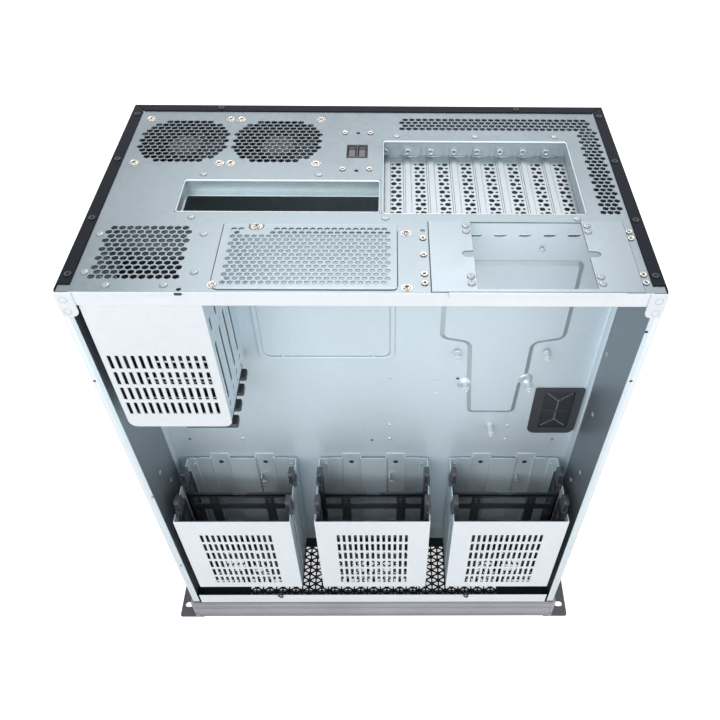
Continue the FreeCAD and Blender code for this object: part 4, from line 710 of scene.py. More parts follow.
class CASE_OT_fans(bpy.types.Operator):
    """Two rear fans: moulded frames, hubs and swept blades"""
    bl_idname = "case.fans"
    bl_label = "Rear fans"

    def execute(self, context):
        z0 = 504.8
        for i, cx in enumerate(FAN_X):
            frame_piece = Piece("fan_%d_housing" % (i + 1), "latch")
            bore = ring(cx, FAN_N, 38.0, 48)
            corners = [(cx + a * 35.75, FAN_N + b * 35.75) for a in (-1, 1) for b in (-1, 1)]
            drilled = [bore] + [ring(a, b, 2.2, 10) for a, b in corners]
            square = rect(cx - 40.0, cx + 40.0, FAN_N - 40.0, FAN_N + 40.0, 3.0)
            frame_piece.flat("z", z0, 4.0, square, drilled, soft=0.4)
            frame_piece.flat("z", z0 + 21.0, 4.0, square, drilled, soft=0.4)
            frame_piece.flat("z", z0 + 3.9, 17.2, ring(cx, FAN_N, 39.9, 48), [bore], soft=0.0)
            for a, b in corners:
                frame_piece.flat("z", z0 + 3.9, 17.2, ring(a, b, 4.0, 16), [ring(a, b, 2.2, 10)], soft=0.0)
            frame_piece.turned([(0.0, z0 + 0.1), (15.2, z0 + 0.1), (16.0, z0 + 0.9), (16.0, z0 + 3.6),
                                (15.4, z0 + 4.0), (0.0, z0 + 4.0)], toward("z", cx, FAN_N, 0.0), 0, 32)
            for k in range(4):
                arm = bmesh.new()
                place = toward("z", cx, FAN_N, z0 + 1.6, 45.0 + 90.0 * k) @ Matrix.Translation((26.8, 0, 0))
                bmesh.ops.create_cube(arm, size=1.0, matrix=place @ Matrix.Diagonal((23.4, 3.0, 3.0, 1.0)))
                bmesh.ops.bevel(arm, geom=arm.edges[:], offset=0.6, affect="EDGES", segments=2,
                                profile=0.5, material=-1)
                frame_piece.keep(arm)
            frame_piece.done("fan_%d_frame" % (i + 1))

            rotor = Piece("fan_%d_blades" % (i + 1), "latch")
            rotor.turned([(0.0, z0 + 4.3), (14.9, z0 + 4.3), (14.9, z0 + 21.0), (13.6, z0 + 22.3),
                          (0.0, z0 + 22.3)], toward("z", cx, FAN_N, 0.0), 0, 32)
            for k in range(7):
                blade = bmesh.new()
                bmesh.ops.create_grid(blade, x_segments=6, y_segments=6, size=0.5)
                for spot in blade.verts:
                    reach = 14.0 + (spot.co.x + 0.5) * 22.6
                    chord = spot.co.y * (15.0 + 0.35 * (reach - 14.0))
                    sweep = 0.35 * (spot.co.x + 0.5) ** 1.4
                    slope = math.radians(52.0 - 20.0 * (spot.co.x + 0.5))
                    camber = 2.2 * (0.25 - spot.co.y ** 2)
                    along = chord * math.cos(slope) - camber * math.sin(slope)
                    height = chord * math.sin(slope) + camber * math.cos(slope)
                    turn = sweep + along / reach
                    spot.co = (reach * math.cos(turn), reach * math.sin(turn), max(-8.7, min(8.7, height)))
                bmesh.ops.solidify(blade, geom=blade.faces[:], thickness=1.1)
                bmesh.ops.recalc_face_normals(blade, faces=blade.faces)
                rotor.keep(blade, toward("z", cx, FAN_N, z0 + 13.3, 360.0 * k / 7))
            rotor.done("fan_%d_rotor" % (i + 1), "fan_%d_rotor" % (i + 1))
        return {"FINISHED"}


# ---- tray --------------------------------------------------------------------
class CASE_OT_tray(bpy.types.Operator):
    """Tray across the case: pressed panels, lanced slots and two near flanges"""
    bl_idname = "case.tray"
    bl_label = "Tray"

    def execute(self, context):
        tray = Piece("tray_worked", "tray", "zinc", "bay")
        x0, x1, z0, z1 = 168.2, 205.0, 272.6, 330.0
        holes = [rect(x0, x1, z0, z1)]
        holes += [ring(x, z, 1.7, 14) for x, z in ((0.2, 251.4), (192.0, 253.2), (-192.5, 253.0),
                                                  (84.6, 348.8))]
        for k in range(5):
            cx = 86.8 + 19.6 * k
            holes.append(rounded([(cx - 6.0, 517.4), (cx + 6.0, 517.4), (cx + 4.0, 514.6), (cx - 4.0, 514.6)],
                                 [0.3, 0.3, 2.0, 2.0]))
        tray.flat("n", TRAY, 1.2, rect(-210.4, 210.4, 48.0, 528.5), holes, soft=0.0)
        bend = folded([(213.0, 76.0), (213.0, 88.2), (210.4, 88.2)], 1.2, 1.2)
        for s in (-1, 1):
            tray.flat("z", 48.0, 480.5, flip(bend, s), soft=0.15)
            for z in (100.0, 252.0, 340.0, 430.0, 500.0):
                tray.flat("x", s * 211.75, 0.3, pill(80.0, z, 3.4, 1.8, False), soft=0.05)
        tee = rounded([(98.0, 299.0), (144.8, 299.0), (146.2, 343.0), (151.2, 350.0), (151.2, 397.0),
                       (178.8, 402.5), (178.8, 491.0), (64.5, 491.0), (64.5, 403.0), (90.6, 397.5),
                       (95.0, 330.0)], [5, 5, 4, 4, 7, 9, 6, 6, 9, 7, 3], 5)
        # Slopes of the pressed tee and the thin ring round it take the darker bay zinc: painted shade along
        # the pressed edges.
        tray.raised(TRAY, tee, 3.8, 1.6, 0, 2)
        tray.flat("n", TRAY - 0.3, 0.4, folded(tee[::-1] + tee[-1:], 0.45, 0.0), soft=0.0, look=2)
        for x, z in ((92.3, 341.5), (149.0, 349.5)):
            tray.turned([(8.0, -0.4), (5.6, 2.3), (4.6, 2.3), (2.6, 0.6), (0.0, 0.6)],
                        toward("n", x, TRAY, z), 1, 28)
        outline = rect(-102.0, 24.0, 375.0, 520.0, [9, 9, 2, 2], 6)
        inside = rect(-97.6, 19.6, 379.4, 517.0, [7, 7, 2, 2], 6)
        tray.flat("n", TRAY - 1.7, 1.9, outline, [inside], soft=0.85, round_steps=2)
        # Thin rings in the darker bay zinc along both edges of the pressed frame: painted shade lines.
        for edge in (outline, inside):
            tray.flat("n", TRAY - 0.3, 0.4, folded(edge + edge[:1], 0.8, 0.0), soft=0.0, look=2)
        tray.done("mid_tray")
        return {"FINISHED"}


STANDOFFS = ((81.6, 386.2, 8.0), (92.1, 343.6, 8.0), (122.8, 278.0, 12.0), (164.4, 386.5, 8.0),
             (153.4, 343.0, 8.0))


class CASE_OT_grommet(bpy.types.Operator):
    """Rubber cable grommet with its slit membrane, and the tray's standoffs"""
    bl_idname = "case.grommet"
    bl_label = "Grommet and standoffs"

    def execute(self, context):
        x0, x1, z0, z1 = 162.2, 211.0, 266.6, 336.0
        grommet = Piece("grommet_worked", "rubber", "bezel", "sled")
        opening = rect(x0 + 10.5, x1 - 8.5, z0 + 8.5, z1 - 5.5, 1.5)
        lip = rect(x0, x1, z0, z1, [8.0, 8.0, 2.0, 2.0], 6)
        grommet.flat("n", 85.0, 2.0, lip, [opening], soft=0.7, round_steps=2)
        grommet.flat("n", 86.9, 1.5, rect(x0 + 6.2, x1 - 6.2, z0 + 6.2, z1 - 6.2), soft=0.2, look=2)
        mid_x, mid_z = (x0 + x1) / 2.0 + 1.0, (z0 + z1) / 2.0
        grommet.flat("n", 86.4, 0.6, rect(x0 + 10.8, x1 - 8.8, mid_z - 0.7, mid_z + 0.7), soft=0.25)
        low, top = (mid_x, mid_z - 13.0), (mid_x, mid_z + 15.0)
        seams = ((low, top), (top, (x0 + 12.5, z1 - 8.0)), (top, (x1 - 10.5, z1 - 8.0)),
                 (low, (x0 + 13.0, z0 + 11.0)), (low, (x1 - 11.0, z0 + 11.0)))
        for a, b in seams:
            a, b = Vector(a), Vector(b)
            count = max(3, int((b - a).length / 2.6))
            for k in range(count):
                spot = a.lerp(b, (k + 0.5) / count)
                grommet.flat("n", 86.65, 0.3, ring(spot.x, spot.y, 0.75, 6), soft=0.08, look=1)
        grommet.done("cable_grommet")

        posts = Piece("standoffs_worked", "pale")
        for x, z, tall in STANDOFFS:
            base = TRAY - (1.6 if 64 < x < 179 and z > 299 else 0.0)
            profile = [(0.0, 0.0), (3.3, 0.0), (3.3, 1.0), (2.6, 1.4), (2.6, tall - 1.0), (3.2, tall - 0.6),
                       (3.2, tall), (1.7, tall + 0.2), (1.5, tall + 2.6), (1.0, tall + 3.0),
                       (0.0, tall + 3.0)]
            posts.turned(profile, toward("n", x, base, z), 0, 16)
        posts.done("tray_standoffs")
        return {"FINISHED"}


# ---- rear small-drive cage -----------------------------------------------------
class CASE_OT_small_cage(bpy.types.Operator):
    """Cage for four small drives behind the rear panel, with its sliding trays"""
    bl_idname = "case.small_cage"
    bl_label = "Small drive cage"

    def execute(self, context):
        x0, x1, low, top = -202.0, -114.6, 380.0, 529.7
        cage = Piece("small_cage_worked", "pale", "tray", "wall")
        slots = [rect(-197.4 + 6.04 * c, -194.6 + 6.04 * c, 451.5 - 18.3 * r, 466.0 - 18.3 * r, 0.4)
                 for r in range(4) for c in range(13)]
        face = rect(x0, x1, low, top, [7, 7, 0, 0], 5)
        cage.flat("n", 2.5, 1.0, face, slots, soft=0.22)
        cage.flat("z", low, 1.0, rect(x0 + 6.0, x1 - 6.0, 2.9, 9.0, 1.0), soft=0.3)
        for z in (457.6, 438.6):
            left = x0 + (29.0 if z < 450 else 37.0)
            cage.flat("n", 3.6, 0.8, rect(left, x1 - 8.0, z, z + 1.6), soft=0.1, look=1)
        holes = []
        for n in SSD_N:
            mid = n + 7.2
            holes += [pill(mid + a, z, along, across) for a, z, along, across in
                      ((0.0, 440.0, 64.0, 5.0), (0.0, 400.0, 6.0, 4.4), (-2.0, 391.5, 5.0, 4.0),
                       (0.0, 491.0, 13.0, 4.4), (6.0, 475.0, 8.0, 1.6))]
        side = rect(3.4, 87.0, low + 7.0, top, [2, 7, 0, 0], 5)
        cage.flat("x", x1 - 1.0, 1.0, side, holes, soft=0.18, look=1)
        for n in SSD_N:
            mid = n + 7.2
            cage.flat("x", x1 - 0.2, 0.45, pill(mid - 4.4, 434.0, 66.0, 1.0), soft=0.15, look=0)
        cage.flat("x", x0, 1.0, side, soft=0.18, look=1)
        for a, b in ((x1 - 1.0, x1 + 8.0), (x0, x0 + 8.0)):
            cage.block(a, b, 86.0, 87.0, 396.0, top, 0.2, 1)
        stop = [rect(x0 + 12.0, x1 - 12.0, 5.5, 81.0)]
        cage.flat("z", 503.0, 1.0, rect(x0 + 0.5, x1 - 0.5, 3.0, 86.5), stop, soft=0.2, look=2)
        cage.done("rear_cage")
        for k, near in enumerate(SSD_N):
            a, b, far = x0 + 1.3, x1 - 1.3, near + 14.5
            carrier = Piece("small_tray_%d_worked" % (k + 1), "latch", "latch")
            window = rect(a + 12.0, b - 12.0, 397.4, 486.7, 3.0)
            carrier.flat("n", far - 1.6, 1.6, rect(a, b, 379.4, 502.7), [window], soft=0.3)
            for x in (a, b - 2.0):
                carrier.flat("x", x, 2.0, rect(near, far, 379.4, 502.7, 0.8),
                             [pill(near + 7.0, z, 16.0, 2.4) for z in (410.0, 440.0, 470.0)], soft=0.25)
            carrier.flat("z", 372.6, 4.8, rect(x0 + 45.0, x1 + 3.0, near + 1.7, far - 1.5, 1.8, 3),
                         soft=0.5, look=1, round_steps=1)
            carrier.flat("z", 377.0, 2.6, rect(a + 3.0, x1 - 1.5, near + 2.4, far - 2.2), soft=0.2)
            carrier.done("ssd_tray_%d" % (k + 1), "ssd_tray_%d" % (k + 1))
        return {"FINISHED"}


# ---- front drive cages ---------------------------------------------------------
class CASE_OT_drive_cages(bpy.types.Operator):
    """Three slotted front cages and their stepped far plates"""
    bl_idname = "case.drive_cages"
    bl_label = "Drive cages"

    def execute(self, context):
        pitch = context.scene.case_sizes.cage_slot_pitch
        low, top, half = 82.0, 224.5, 59.25
        for name, cx in CAGE_X.items():
            shell = Piece("cage_%s_worked" % name, "pale", "zinc")
            slots = []
            for r in range(6):
                for c in range(13):
                    a, b = cx - 0.5 + pitch * (c - 6), 198.5 - 18.3 * r
                    slots.append(rect(a - 1.55, a + 1.55, b - 14.6, b, 0.35))
            shell.flat("n", 2.5, 1.0, rect(cx - half, cx + half, low, top, 0.8), slots, soft=0.22)
            side = [(3.2, low), (83.0, low), (83.0, top)]
            for n in (48.0, 13.0):
                side += [(n + 18.5, top), (n + 18.5, 211.5), (n - 0.5, 211.5), (n - 0.5, top)]
            side += [(3.2, top)]
            slides = [pill(n + 11.0, 145.0, 90.0, 4.0) for n in SLED_N.values()]
            slides += [pill(n + 11.0, 91.0, 6.0, 2.2) for n in SLED_N.values()]
            for s in (-1, 1):
                start = cx - half if s < 0 else cx + half - 1.0
                shell.flat("x", start, 1.0, rounded(side, 0.7, 2), slides, soft=0.2, look=1)
                for n in SLED_N.values():
                    rib = cx + s * half - (0.45 if s > 0 else 0.0)
                    shell.flat("x", rib, 0.45, pill(n + 6.0, 145.0, 104.0, 1.2), soft=0.15, look=1)
                shell.block(cx + s * half, cx + s * (half - 7.0), 3.0, 83.0, low, low + 1.0, 0.25, 1)
            shell.done("drive_cage_" + name)

            back = Piece("cage_back_%s_worked" % name, "tray", "screw", "zinc", "sled")
            for s in (-1, 1):
                for n, out, inside in ((83.0, half, 50.2), (83.5, 50.4, 34.6)):
                    back.flat("n", n, 1.0, sided(s, out, inside, low, top, middle=cx), soft=0.2)
                # Dark disc inside the column's hole: painted shade of the hole.
                back.flat("n", 86.1, 0.7, ring(cx + s * 24.25, 214.0, 3.0, 20), soft=0.0, look=3)
                column = sided(s, 34.4, 14.1, low, 229.0, 0.6, cx)
                back.flat("n", 86.0, 1.0, column, [ring(cx + s * 24.25, 214.0, 2.6, 20)], soft=0.2)
                for x in (34.5, 14.0):
                    back.block(cx + s * x - 0.5, cx + s * x + 0.5, 83.1, 86.9, low, top, 0.2, 2)
                place = toward("n", cx + s * 53.0, 83.0, 214.5)
                screw_head(back, place, 1.9, 1.0, 2, 1)
            back.flat("n", 83.0, 1.0, rect(cx - 14.1, cx + 14.1, low, top), soft=0.2)
            screw_head(back, toward("n", cx - 46.0, 83.5, 152.0), 1.9, 1.0, 2, 1)
            back.flat("x", cx + 17.0, 1.0, rect(79.0, 86.1, 184.0, 193.0, 0.8), soft=0.25)
            back.flat("n", 79.0, 1.0, rect(cx + 17.0, cx + 24.0, 184.0, 186.6, 0.8), soft=0.3, look=1)
            back.flat("n", 85.85, 0.2, ring(cx + 22.5, 192.5, 4.2, 20), soft=0.05)
            back.done("cage_back_" + name)
        return {"FINISHED"}


class CASE_OT_sleds(bpy.types.Operator):
    """Six tool-less drive sleds: open plate, ribbed rails, zigzag springs and latches"""
    bl_idname = "case.sleds"
    bl_label = "Drive sleds"

    def execute(self, context):
        low, half, leg = 83.3, 57.95, 30.0
        for cage, cx in CAGE_X.items():
            for row, near in SLED_N.items():
                sled = Piece("sled_%s_%s_worked" % (cage, row), "sled", "latch", "screw")
                windows = []
                for z0, z1 in ((92.3, 128.0), (138.0, 178.0), (188.0, 200.0)):
                    for a, b in ((-leg + 5.0, leg - 5.0), (-half + 6.0, -leg - 5.0), (leg + 5.0, half - 6.0)):
                        windows.append(rect(cx + a, cx + b, z0, z1, 1.5))
                windows += [ring(cx + s * leg, z, 1.4, 10) for s in (-1, 1) for z in (191.0, 196.5)]
                points = ((-half, low), (half, low), (half, 209.0), (9.0, 209.0), (7.0, 206.6), (-7.0, 206.6),
                          (-9.0, 209.0), (-half, 209.0))
                outline = rounded([(cx + a, z) for a, z in points], 0.8, 2)
                sled.flat("n", near, 1.6, outline, windows, soft=0.35)
                sled.flat("n", near, 3.4, rect(cx - half + 3.0, cx + half - 3.0, 203.4, 206.2, 0.5),
                          soft=0.4, look=1)
                for s in (-1, 1):
                    for z in (191.0, 196.5):
                        sled.turned([(1.35, -0.3), (1.35, 0.5), (0.9, 0.75), (0.0, 0.75)],
                                    toward("n", cx + s * leg, near + 1.2, z), 2, 12)
                    rail = cx + s * half - (2.7 if s > 0 else 0.0)
                    marks = [pill(near + 12.0, z, 20.0, 3.4) for z in (105.0, 135.0, 165.0)]
                    sled.flat("x", rail, 2.7, rect(near, near + 26.0, low, 213.5, 1.0), marks, soft=0.4)
                    inner = sorted((cx + s * (half - 3.4), cx + s * (half - 2.6)))
                    for k in range(9):
                        z = 168.0 + 4.1 * k
                        tilt = 2.2 if k % 2 else -2.2
                        zig = [(near + 4.0, z + tilt), (near + 19.0, z - tilt), (near + 19.0, z - tilt + 1.5),
                               (near + 4.0, z + tilt + 1.5)]
                        sled.flat("x", inner[0], 0.8, zig, soft=0.2, look=1)
                    grip = sorted((cx + s * (half - 2.7), cx + s * 60.85))
                    sled.block(*grip, near + 6.0, near + 17.0, 212.2, 221.0, 0.3, 1)
                    head = sorted((cx + s * 53.8, cx + s * 59.2))
                    points = ((17.0, 219.0), (17.0, 234.0), (8.0, 237.5), (5.0, 237.5), (5.0, 219.0))
                    shape = rounded([(near + n, z) for n, z in points], 0.4, 1)
                    sled.flat("x", head[0], head[1] - head[0], shape, soft=0.25, look=1)
                    sled.block(head[0] + 0.9, head[1] - 0.9, near + 4.2, near + 5.3, 221.0, 235.5, 0.2)
                    sled.block(head[0] + 0.4, head[1] - 0.4, near + 3.6, near + 5.4, 235.0, 237.0, 0.3, 1)
                sled.done("sled_%s_%s" % (cage, row), "sled_%s_%s" % (cage, row))
        return {"FINISHED"}


# ---- front wall, screen, bezel and ears ------------------------------------------
class CASE_OT_front(bpy.types.Operator):
    """Front wall with its near lip, the triangle-cut intake screen and its two hooks"""
    bl_idname = "case.front"
    bl_label = "Front wall and screen"

    def execute(self, context):
        size = context.scene.case_sizes
        wall = Piece("front_wall_worked", "screen", "pale")
        windows = [rect(-154.0 + 103.4 * k, -52.4 + 103.4 * k, 4.0, 75.0, 2.0) for k in range(3)]
        windows += [rect(s * 181.5 - 23.5, s * 181.5 + 23.5, 27.0, 75.0, 2.0) for s in (-1, 1)]
        windows += [rect(-205.0 + 138.0 * k, -71.0 + 138.0 * k, 92.0, 250.0, 3.0) for k in range(3)]
        wall.flat("z", FRONT_TOP, 1.2, rect(-212.9, 212.9, 1.2, FAR_IN), windows, soft=0.2)
        lip = rect(0.6, 1.3, 46.1, 64.0, [0.1, 0.1, 0.3, 0.3])
        wall.flat("x", -205.6, 411.2, lip, soft=0.2, look=1)
        wall.flat("n", 0.35, 0.3, rect(-205.0, 205.0, 46.4, 54.6), soft=0.12, look=1)
        wall.done("front_panel")

        step = size.screen_step
        column = step * math.sqrt(0.75)
        circum = step / math.sqrt(3.0)
        hole = circum - size.screen_rib / math.sqrt(3.0) * 1.9
        holes = []
        count = int(154.0 / column)
        for c in range(-count, count):
            for k in range(27):
                for way in (0, 1):
                    phase = 0.5 if (c + way) % 2 else 0.0
                    n = 6.5 + step * (k + phase)
                    if n > 251.0:
                        continue
                    x = column * c + (column * 2.0 / 3.0 if way else column / 3.0)
                    holes.append(rounded(ring(x, n, hole, 3, 180.0 if way else 0.0), 0.55, 1))
        for s in (-1, 1):
            holes += staggered(s * 181.0 - 22.0, 7.5, 8, 46, 6.0, 5.2, 2.3)
        screen = Piece("screen_worked", "screen")
        screen.flat("z", 45.0, 0.95, rect(-206.0, 206.0, 4.0, 254.0), holes, soft=0.0)
        screen.done("front_mesh")

        hooks = Piece("hooks_worked", "sled")
        for x in (-109.6, 109.6):
            hooks.flat("x", x - 2.0, 4.0, [(1.5, 47.4), (2.9, 47.4), (2.9, 66.0), (1.5, 66.0)], soft=0.25)
            hooks.flat("z", 64.4, 1.4, rect(x - 3.0, x + 3.0, 0.1, 2.9), soft=0.25)
            claw = [(x + a, z) for a, z in ((-3.2, 65.8), (-3.2, 61.5), (-0.6, 57.8), (1.5, 57.2),
                                            (3.0, 60.0), (3.2, 65.8))]
            eye = [(x + a, z) for a, z in ((-1.7, 64.4), (-1.6, 62.2), (1.3, 61.4), (1.5, 64.4))]
            hooks.flat("n", 0.05, 0.5, claw, [eye], soft=0.15)
        hooks.done("mesh_hooks")
        return {"FINISHED"}


class CASE_OT_bezel(bpy.types.Operator):
    """Grooved bezel frame and the two slotted rack ears"""
    bl_idname = "case.bezel"
    bl_label = "Bezel and ears"

    def execute(self, context):
        half, n0, n1 = 217.2, 2.8, 257.2
        frame_piece = Piece("bezel_worked", "bezel", "ear", "sled")
        near = [(n0 + n, z) for n, z in ((0.0, 2.1), (14.0, 2.1), (14.0, 45.0), (0.9, 45.0), (0.9, 41.6),
                                         (0.0, 41.6), (0.0, 24.6), (0.8, 24.1), (0.8, 22.9), (0.0, 22.4))]
        far = [(n1 + n0 - n, z) for n, z in near]
        for outline in (near, far):
            frame_piece.flat("x", -half, 2.0 * half, outline, soft=0.3)
        for s in (-1, 1):
            side = rect(n0 + 14.0, n1 - 14.0, 2.1, 45.0)
            frame_piece.flat("x", min(s * half, s * (half - 14.0)), 14.0, side, soft=0.2)
            frame_piece.block(s * (half - 0.4), s * half, n0 + 0.2, n0 + 14.0, 3.0, 41.0, 0.1, 1)
        frame_piece.flat("x", -half + 0.3, 2.0 * half - 0.6, rect(n0 + 0.1, n0 + 0.9, 41.8, 44.6), soft=0.1,
                         look=1)
        # Flat dark strips on the bezel face: painted shade of two grooves.
        for z, tall in ((39.9, 1.5), (36.3, 0.6)):
            groove_shade = rect(-half + 0.3, half - 0.3, z, z + tall)
            frame_piece.flat("n", n0 - 0.04, 0.2, groove_shade, soft=0.0, look=2)
        frame_piece.done("bezel_frame")
        for side, s in (("right", 1), ("left", -1)):
            ear = Piece("ear_%s_worked" % side, "ear", "bezel", "recess")
            slots = [pill(232.55, 130.0 + k * 111.125, 10.3, 7.0, False, 8) for k in (-1, 1)]
            outline = rect(211.3, 241.3, n0, n1, [0.5, 2.5, 2.5, 0.5], 4)
            ear.flat("z", 0.0, 2.0, flip(outline, s),
                     [flip(points, s) for points in slots], soft=0.35, round_steps=1)
            leg = rect(n0, n1, 1.6, 38.0, [0.3, 0.3, 2.0, 2.0])
            ear.flat("x", 217.25 if s > 0 else -221.2, 3.95, leg, soft=0.5, look=1, round_steps=1)
            ear.block(s * 215.2, s * 221.0, 20.0, 240.0, 45.2, 47.0, 0.3)
            ear.block(s * 217.4, s * 221.0, 20.0, 240.0, 37.6, 45.6, 0.3)
            ear.block(s * 215.05, s * 216.5, 20.0, 240.0, 46.5, 76.0, 0.3)
            ear.flat("n", n0 - 0.04, 0.3, pill(s * 219.2, 9.0, 6.0, 1.8), soft=0.05, look=2)
            ear.done("rack_ear_" + side)
        return {"FINISHED"}


# ---- screws and rivets -----------------------------------------------------------
class CASE_OT_fasteners(bpy.types.Operator):
    """Every visible screw, stud and rivet of the case"""
    bl_idname = "case.fasteners"
    bl_label = "Screws and rivets"

    def execute(self, context):
        def upward(spots, level, turn=0.0):
            return [toward("z", x, n, level, turn * i) for i, (x, n) in enumerate(spots)]

        def gather(node, places, radius, tall, kind, looks, name=None):
            piece = Piece((name or node) + "_worked", *looks)
            for place in places:
                if kind in ("rivet", "shade_ringed"):
                    rivet_head(piece, place, radius, tall)
                    # A flat darker disc under the pale dome: painted shade round the rivet head.
                    if kind == "shade_ringed":
                        piece.turned([(radius + 0.3, 0.0), (radius + 0.3, 0.06), (0.0, 0.06)],
                                     place, 1, 18)
                else:
                    screw_head(piece, place, radius, tall)
                    if kind == "washer":
                        piece.turned([(radius + 0.9, 0.0), (radius + 0.8, 0.35), (radius * 0.9, 0.45)],
                                     place, 0)
            piece.done(node)

        bright = ("screw", "recess")
        half = 71.5 / 2.0
        spots = [(x + a * half, FAN_N + b * half) for x in FAN_X for a in (-1, 1) for b in (-1, 1)]
        gather("fan_screws", upward(spots, PANEL_TOP, 20.0), 3.3, 1.2, "washer", bright)
        spots = [(s * 209.3, n) for s in (-1, 1) for n in (19.0, 85.5, 168.0, 242.5)]
        spots += [(-135.0, 254.4), (135.0, 254.4)]
        gather("flange_screws", upward(spots, DEEP, 30.0), 2.7, 0.9, "screw", ("sled", "black"))
        spots = [(-134.5, 148.0), (-39.6, 148.0), (-134.3, 89.0), (15.7, 88.5), (164.7, 88.5),
                 (25.0, 209.0), (94.0, 208.5), (164.0, 209.0), (-199.0, 67.0), (-121.3, 67.5),
                 (-198.8, 22.7), (-121.0, 23.0), (-180.5, 8.6), (-140.0, 8.8)]
        gather("panel_rivets", upward(spots, PANEL_TOP), 3.0, 1.0, "rivet", ("rivet",))
        spots = [(-20.5, 213.6), (1.8, 213.4), (-20.4, 156.0), (1.9, 156.0), (44.0, 63.2), (44.0, 43.5),
                 (44.0, 21.3), (44.0, 11.5), (201.3, 72.0), (201.3, 63.7), (201.3, 21.4), (201.3, 12.6)]
        gather("panel_screws", upward(spots, PANEL_TOP, 25.0), 2.6, 1.1, "screw", bright)
        spots = [(-82.4, 77.2), (31.3, 69.6), (31.2, 6.6), (-105.6, 9.2)]
        gather("blank_screws", upward(spots, PANEL_TOP, 40.0), 3.1, 1.6, "washer", bright)
        spots = [(s * 46.5 + 123.5, n) for s in (-1, 1) for n in (10.2, 17.6, 70.5, 77.5)]
        gather("bracket_studs", upward(spots, PANEL_TOP + 1.2), 3.0, 1.2, "rivet", ("rivet",))
        gather("corner_rivets", [toward("n", s * 210.0, 0.25, z) for s in (-1, 1)
               for z in (513.4, 524.3)], 2.6, 0.2, "shade_ringed", ("pale", "rivet"))
        gather("slot_screws", [toward("n", SLOT_X + i * SLOT_PITCH, 200.6, 521.5, 35.0 * i)
               for i in range(8)], 3.0, 1.8, "screw", ("zinc", "rivet"))
        spots = [(-80.0, 380.6), (4.0, 380.8), (19.0, 349.8), (63.7, 349.0), (64.4, 326.0), (19.0, 277.8),
                 (19.0, 254.2), (141.7, 276.7), (141.5, 253.8), (-136.3, 254.3), (141.5, 503.4)]
        places = [toward("n", x, TRAY - (1.6 if z > 500 else 0.0), z) for x, z in spots]
        gather("tray_screws", places, 2.0, 1.0, "rivet", ("zinc",), name="tray_nubs")
        return {"FINISHED"}


# ---- floor, lamps and camera -------------------------------------------------------
class CASE_OT_stage(bpy.types.Operator):
    """Pale floor, soft lamps, plain surroundings and the camera"""
    bl_idname = "case.stage"
    bl_label = "Floor, lamps and camera"

    def execute(self, context):
        scene = context.scene
        tone = scene.case_colours
        sheet = bmesh.new()
        bmesh.ops.create_grid(sheet, x_segments=1, y_segments=1, size=6.0)
        floor = bpy.data.objects.new("floor", mesh_of("floor", sheet))
        scene.collection.objects.link(floor)
        pale = Finish("floor_pale", 0.0, 0.9, 0.0)
        dust = pale.tint(pale.noise(3.0), spread(tone.floor, 0.98), spread(tone.floor, 1.01))
        pale.colour(dust)
        path = pale.node("ShaderNodeLightPath")
        glow = pale.node("ShaderNodeMapRange", {"To Max": 0.62, "Value": path.outputs["Is Camera Ray"]})
        pale.into({"Emission Color": (1.0, 1.0, 1.0, 1.0), "Emission Strength": glow.outputs["Result"]})
        floor.data.materials.append(pale.material)

        world = bpy.data.worlds.new("surroundings")
        scene.world = world
        world.use_nodes = True
        tree = world.node_tree
        path = add_node(tree, "ShaderNodeLightPath")
        most = path.outputs["Is Camera Ray"]
        for name in ("Is Glossy Ray", "Is Transmission Ray"):
            pick = add_node(tree, "ShaderNodeMath", operation="MAXIMUM")
            tree.links.new(most, pick.inputs[0])
            tree.links.new(path.outputs[name], pick.inputs[1])
            most = pick.outputs["Value"]
        level = add_node(tree, "ShaderNodeMapRange", {"To Min": 0.55, "To Max": 1.0, "Value": most})
        feed(tree, tree.nodes["Background"], Color=(1.0, 1.0, 1.0, 1.0), Strength=level.outputs["Result"])

        lamps = (("key", (-0.9, -2.2, 1.9), (0.0, 0.0, 0.3), 1.6, 1.6, 42.0),
                 ("fill", (1.7, -1.6, 1.3), (0.0, 0.0, 0.3), 1.4, 1.4, 16.0),
                 ("back", (0.02, 0.78, 1.45), (0.0, -0.13, 0.53), 1.1, 0.40, 10.5))
        for name, spot, aim, width, tall, power in lamps:
            lamp = bpy.data.lights.new(name, "AREA")
            lamp.shape = "RECTANGLE"
            lamp.size = width
            lamp.size_y = tall
            lamp.color = (1.0, 0.95, 0.91) if name == "back" else (0.97, 0.985, 1.0)
            lamp.energy = power
            holder = bpy.data.objects.new(name, lamp)
            way = Vector(aim) - Vector(spot)
            holder.matrix_world = Matrix.Translation(spot) @ way.to_track_quat("-Z", "Y").to_matrix().to_4x4()
            scene.collection.objects.link(holder)

        pitch, yaw, roll = 0.872449, -0.018554, -0.015402
        view = Matrix.Rotation(-roll, 3, "Z") @ Matrix.Rotation(pitch + math.pi / 2.0, 3, "X")
        view = view @ Matrix.Rotation(-yaw, 3, "Z")
        lens = bpy.data.cameras.new("camera")
        lens.sensor_width = 36.0
        lens.lens = 36.86
        lens.shift_x = -0.0539
        lens.shift_y = 0.0694
        lens.clip_start = 0.02
        camera = bpy.data.objects.new("camera", lens)
        turn = Matrix((view[0], -view[1], -view[2])).transposed().to_4x4()
        camera.matrix_world = Matrix.Translation((0.0194007, -0.522411, 0.872821)) @ turn
        scene.collection.objects.link(camera)
        scene.camera = camera
        scene.view_settings.view_transform = "Standard"
        return {"FINISHED"}


# ---- what a user can change, and the panel -------------------------------------------
def length(name, description, value, low, high):
    return bpy.props.FloatProperty(name=name, description=description, default=value, min=low, max=high)


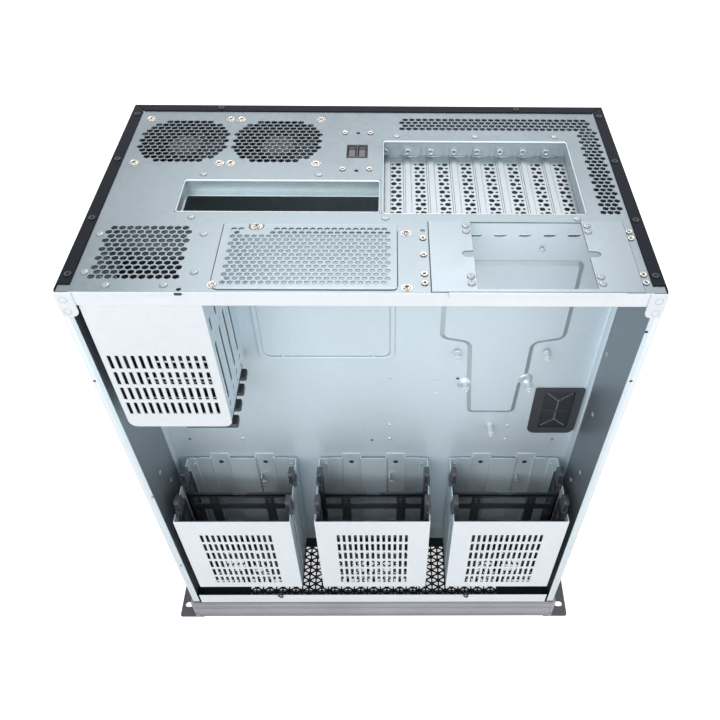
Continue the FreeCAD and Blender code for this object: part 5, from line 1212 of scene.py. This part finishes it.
class CaseSizes(bpy.types.PropertyGroup):
    vent_pitch: length("Vent pitch", "Spacing of the vent holes, mm", 6.0, 4.0, 12.0)
    vent_hole: length("Vent hole", "Width of a vent hole across flats, mm", 4.7, 2.0, 8.0)
    cage_slot_pitch: length("Cage slot pitch", "Spacing of the cage slots, mm", 5.96, 4.0, 6.5)
    screen_step: length("Screen step", "Spacing of the screen's crossings, mm", 9.1, 6.0, 20.0)
    screen_rib: length("Screen rib", "Width of the screen's ribs, mm", 1.6, 0.8, 4.0)


OPERATORS = (CASE_OT_stage, CASE_OT_skins, CASE_OT_walls, CASE_OT_rear_panel, CASE_OT_bay,
             CASE_OT_slot_covers, CASE_OT_supply_plates, CASE_OT_sockets, CASE_OT_fans, CASE_OT_tray,
             CASE_OT_grommet, CASE_OT_small_cage, CASE_OT_drive_cages, CASE_OT_sleds, CASE_OT_front,
             CASE_OT_bezel, CASE_OT_fasteners)


class CASE_PT_panel(bpy.types.Panel):
    """Sizes, colours and pieces of the server case"""
    bl_idname = "CASE_PT_panel"
    bl_label = "Server case"
    bl_space_type = "VIEW_3D"
    bl_region_type = "UI"
    bl_category = "Server case"

    def draw(self, context):
        for group in (context.scene.case_sizes, context.scene.case_colours):
            box = self.layout.box()
            for name in group.__annotations__:
                box.prop(group, name)
        for operator in OPERATORS:
            self.layout.operator(operator.bl_idname)


CLASSES = (CaseSizes, CaseColours) + OPERATORS + (CASE_PT_panel,)


def register():
    for kind in CLASSES:
        bpy.utils.register_class(kind)
    bpy.types.Scene.case_sizes = bpy.props.PointerProperty(type=CaseSizes)
    bpy.types.Scene.case_colours = bpy.props.PointerProperty(type=CaseColours)


def unregister():
    del bpy.types.Scene.case_colours
    del bpy.types.Scene.case_sizes
    for kind in reversed(CLASSES):
        bpy.utils.unregister_class(kind)


def main():
    register()
    make_looks(bpy.context.scene.case_colours)
    for operator in OPERATORS:
        getattr(bpy.ops.case, operator.bl_idname.split(".")[1])()


if __name__ == "__main__":
    main()
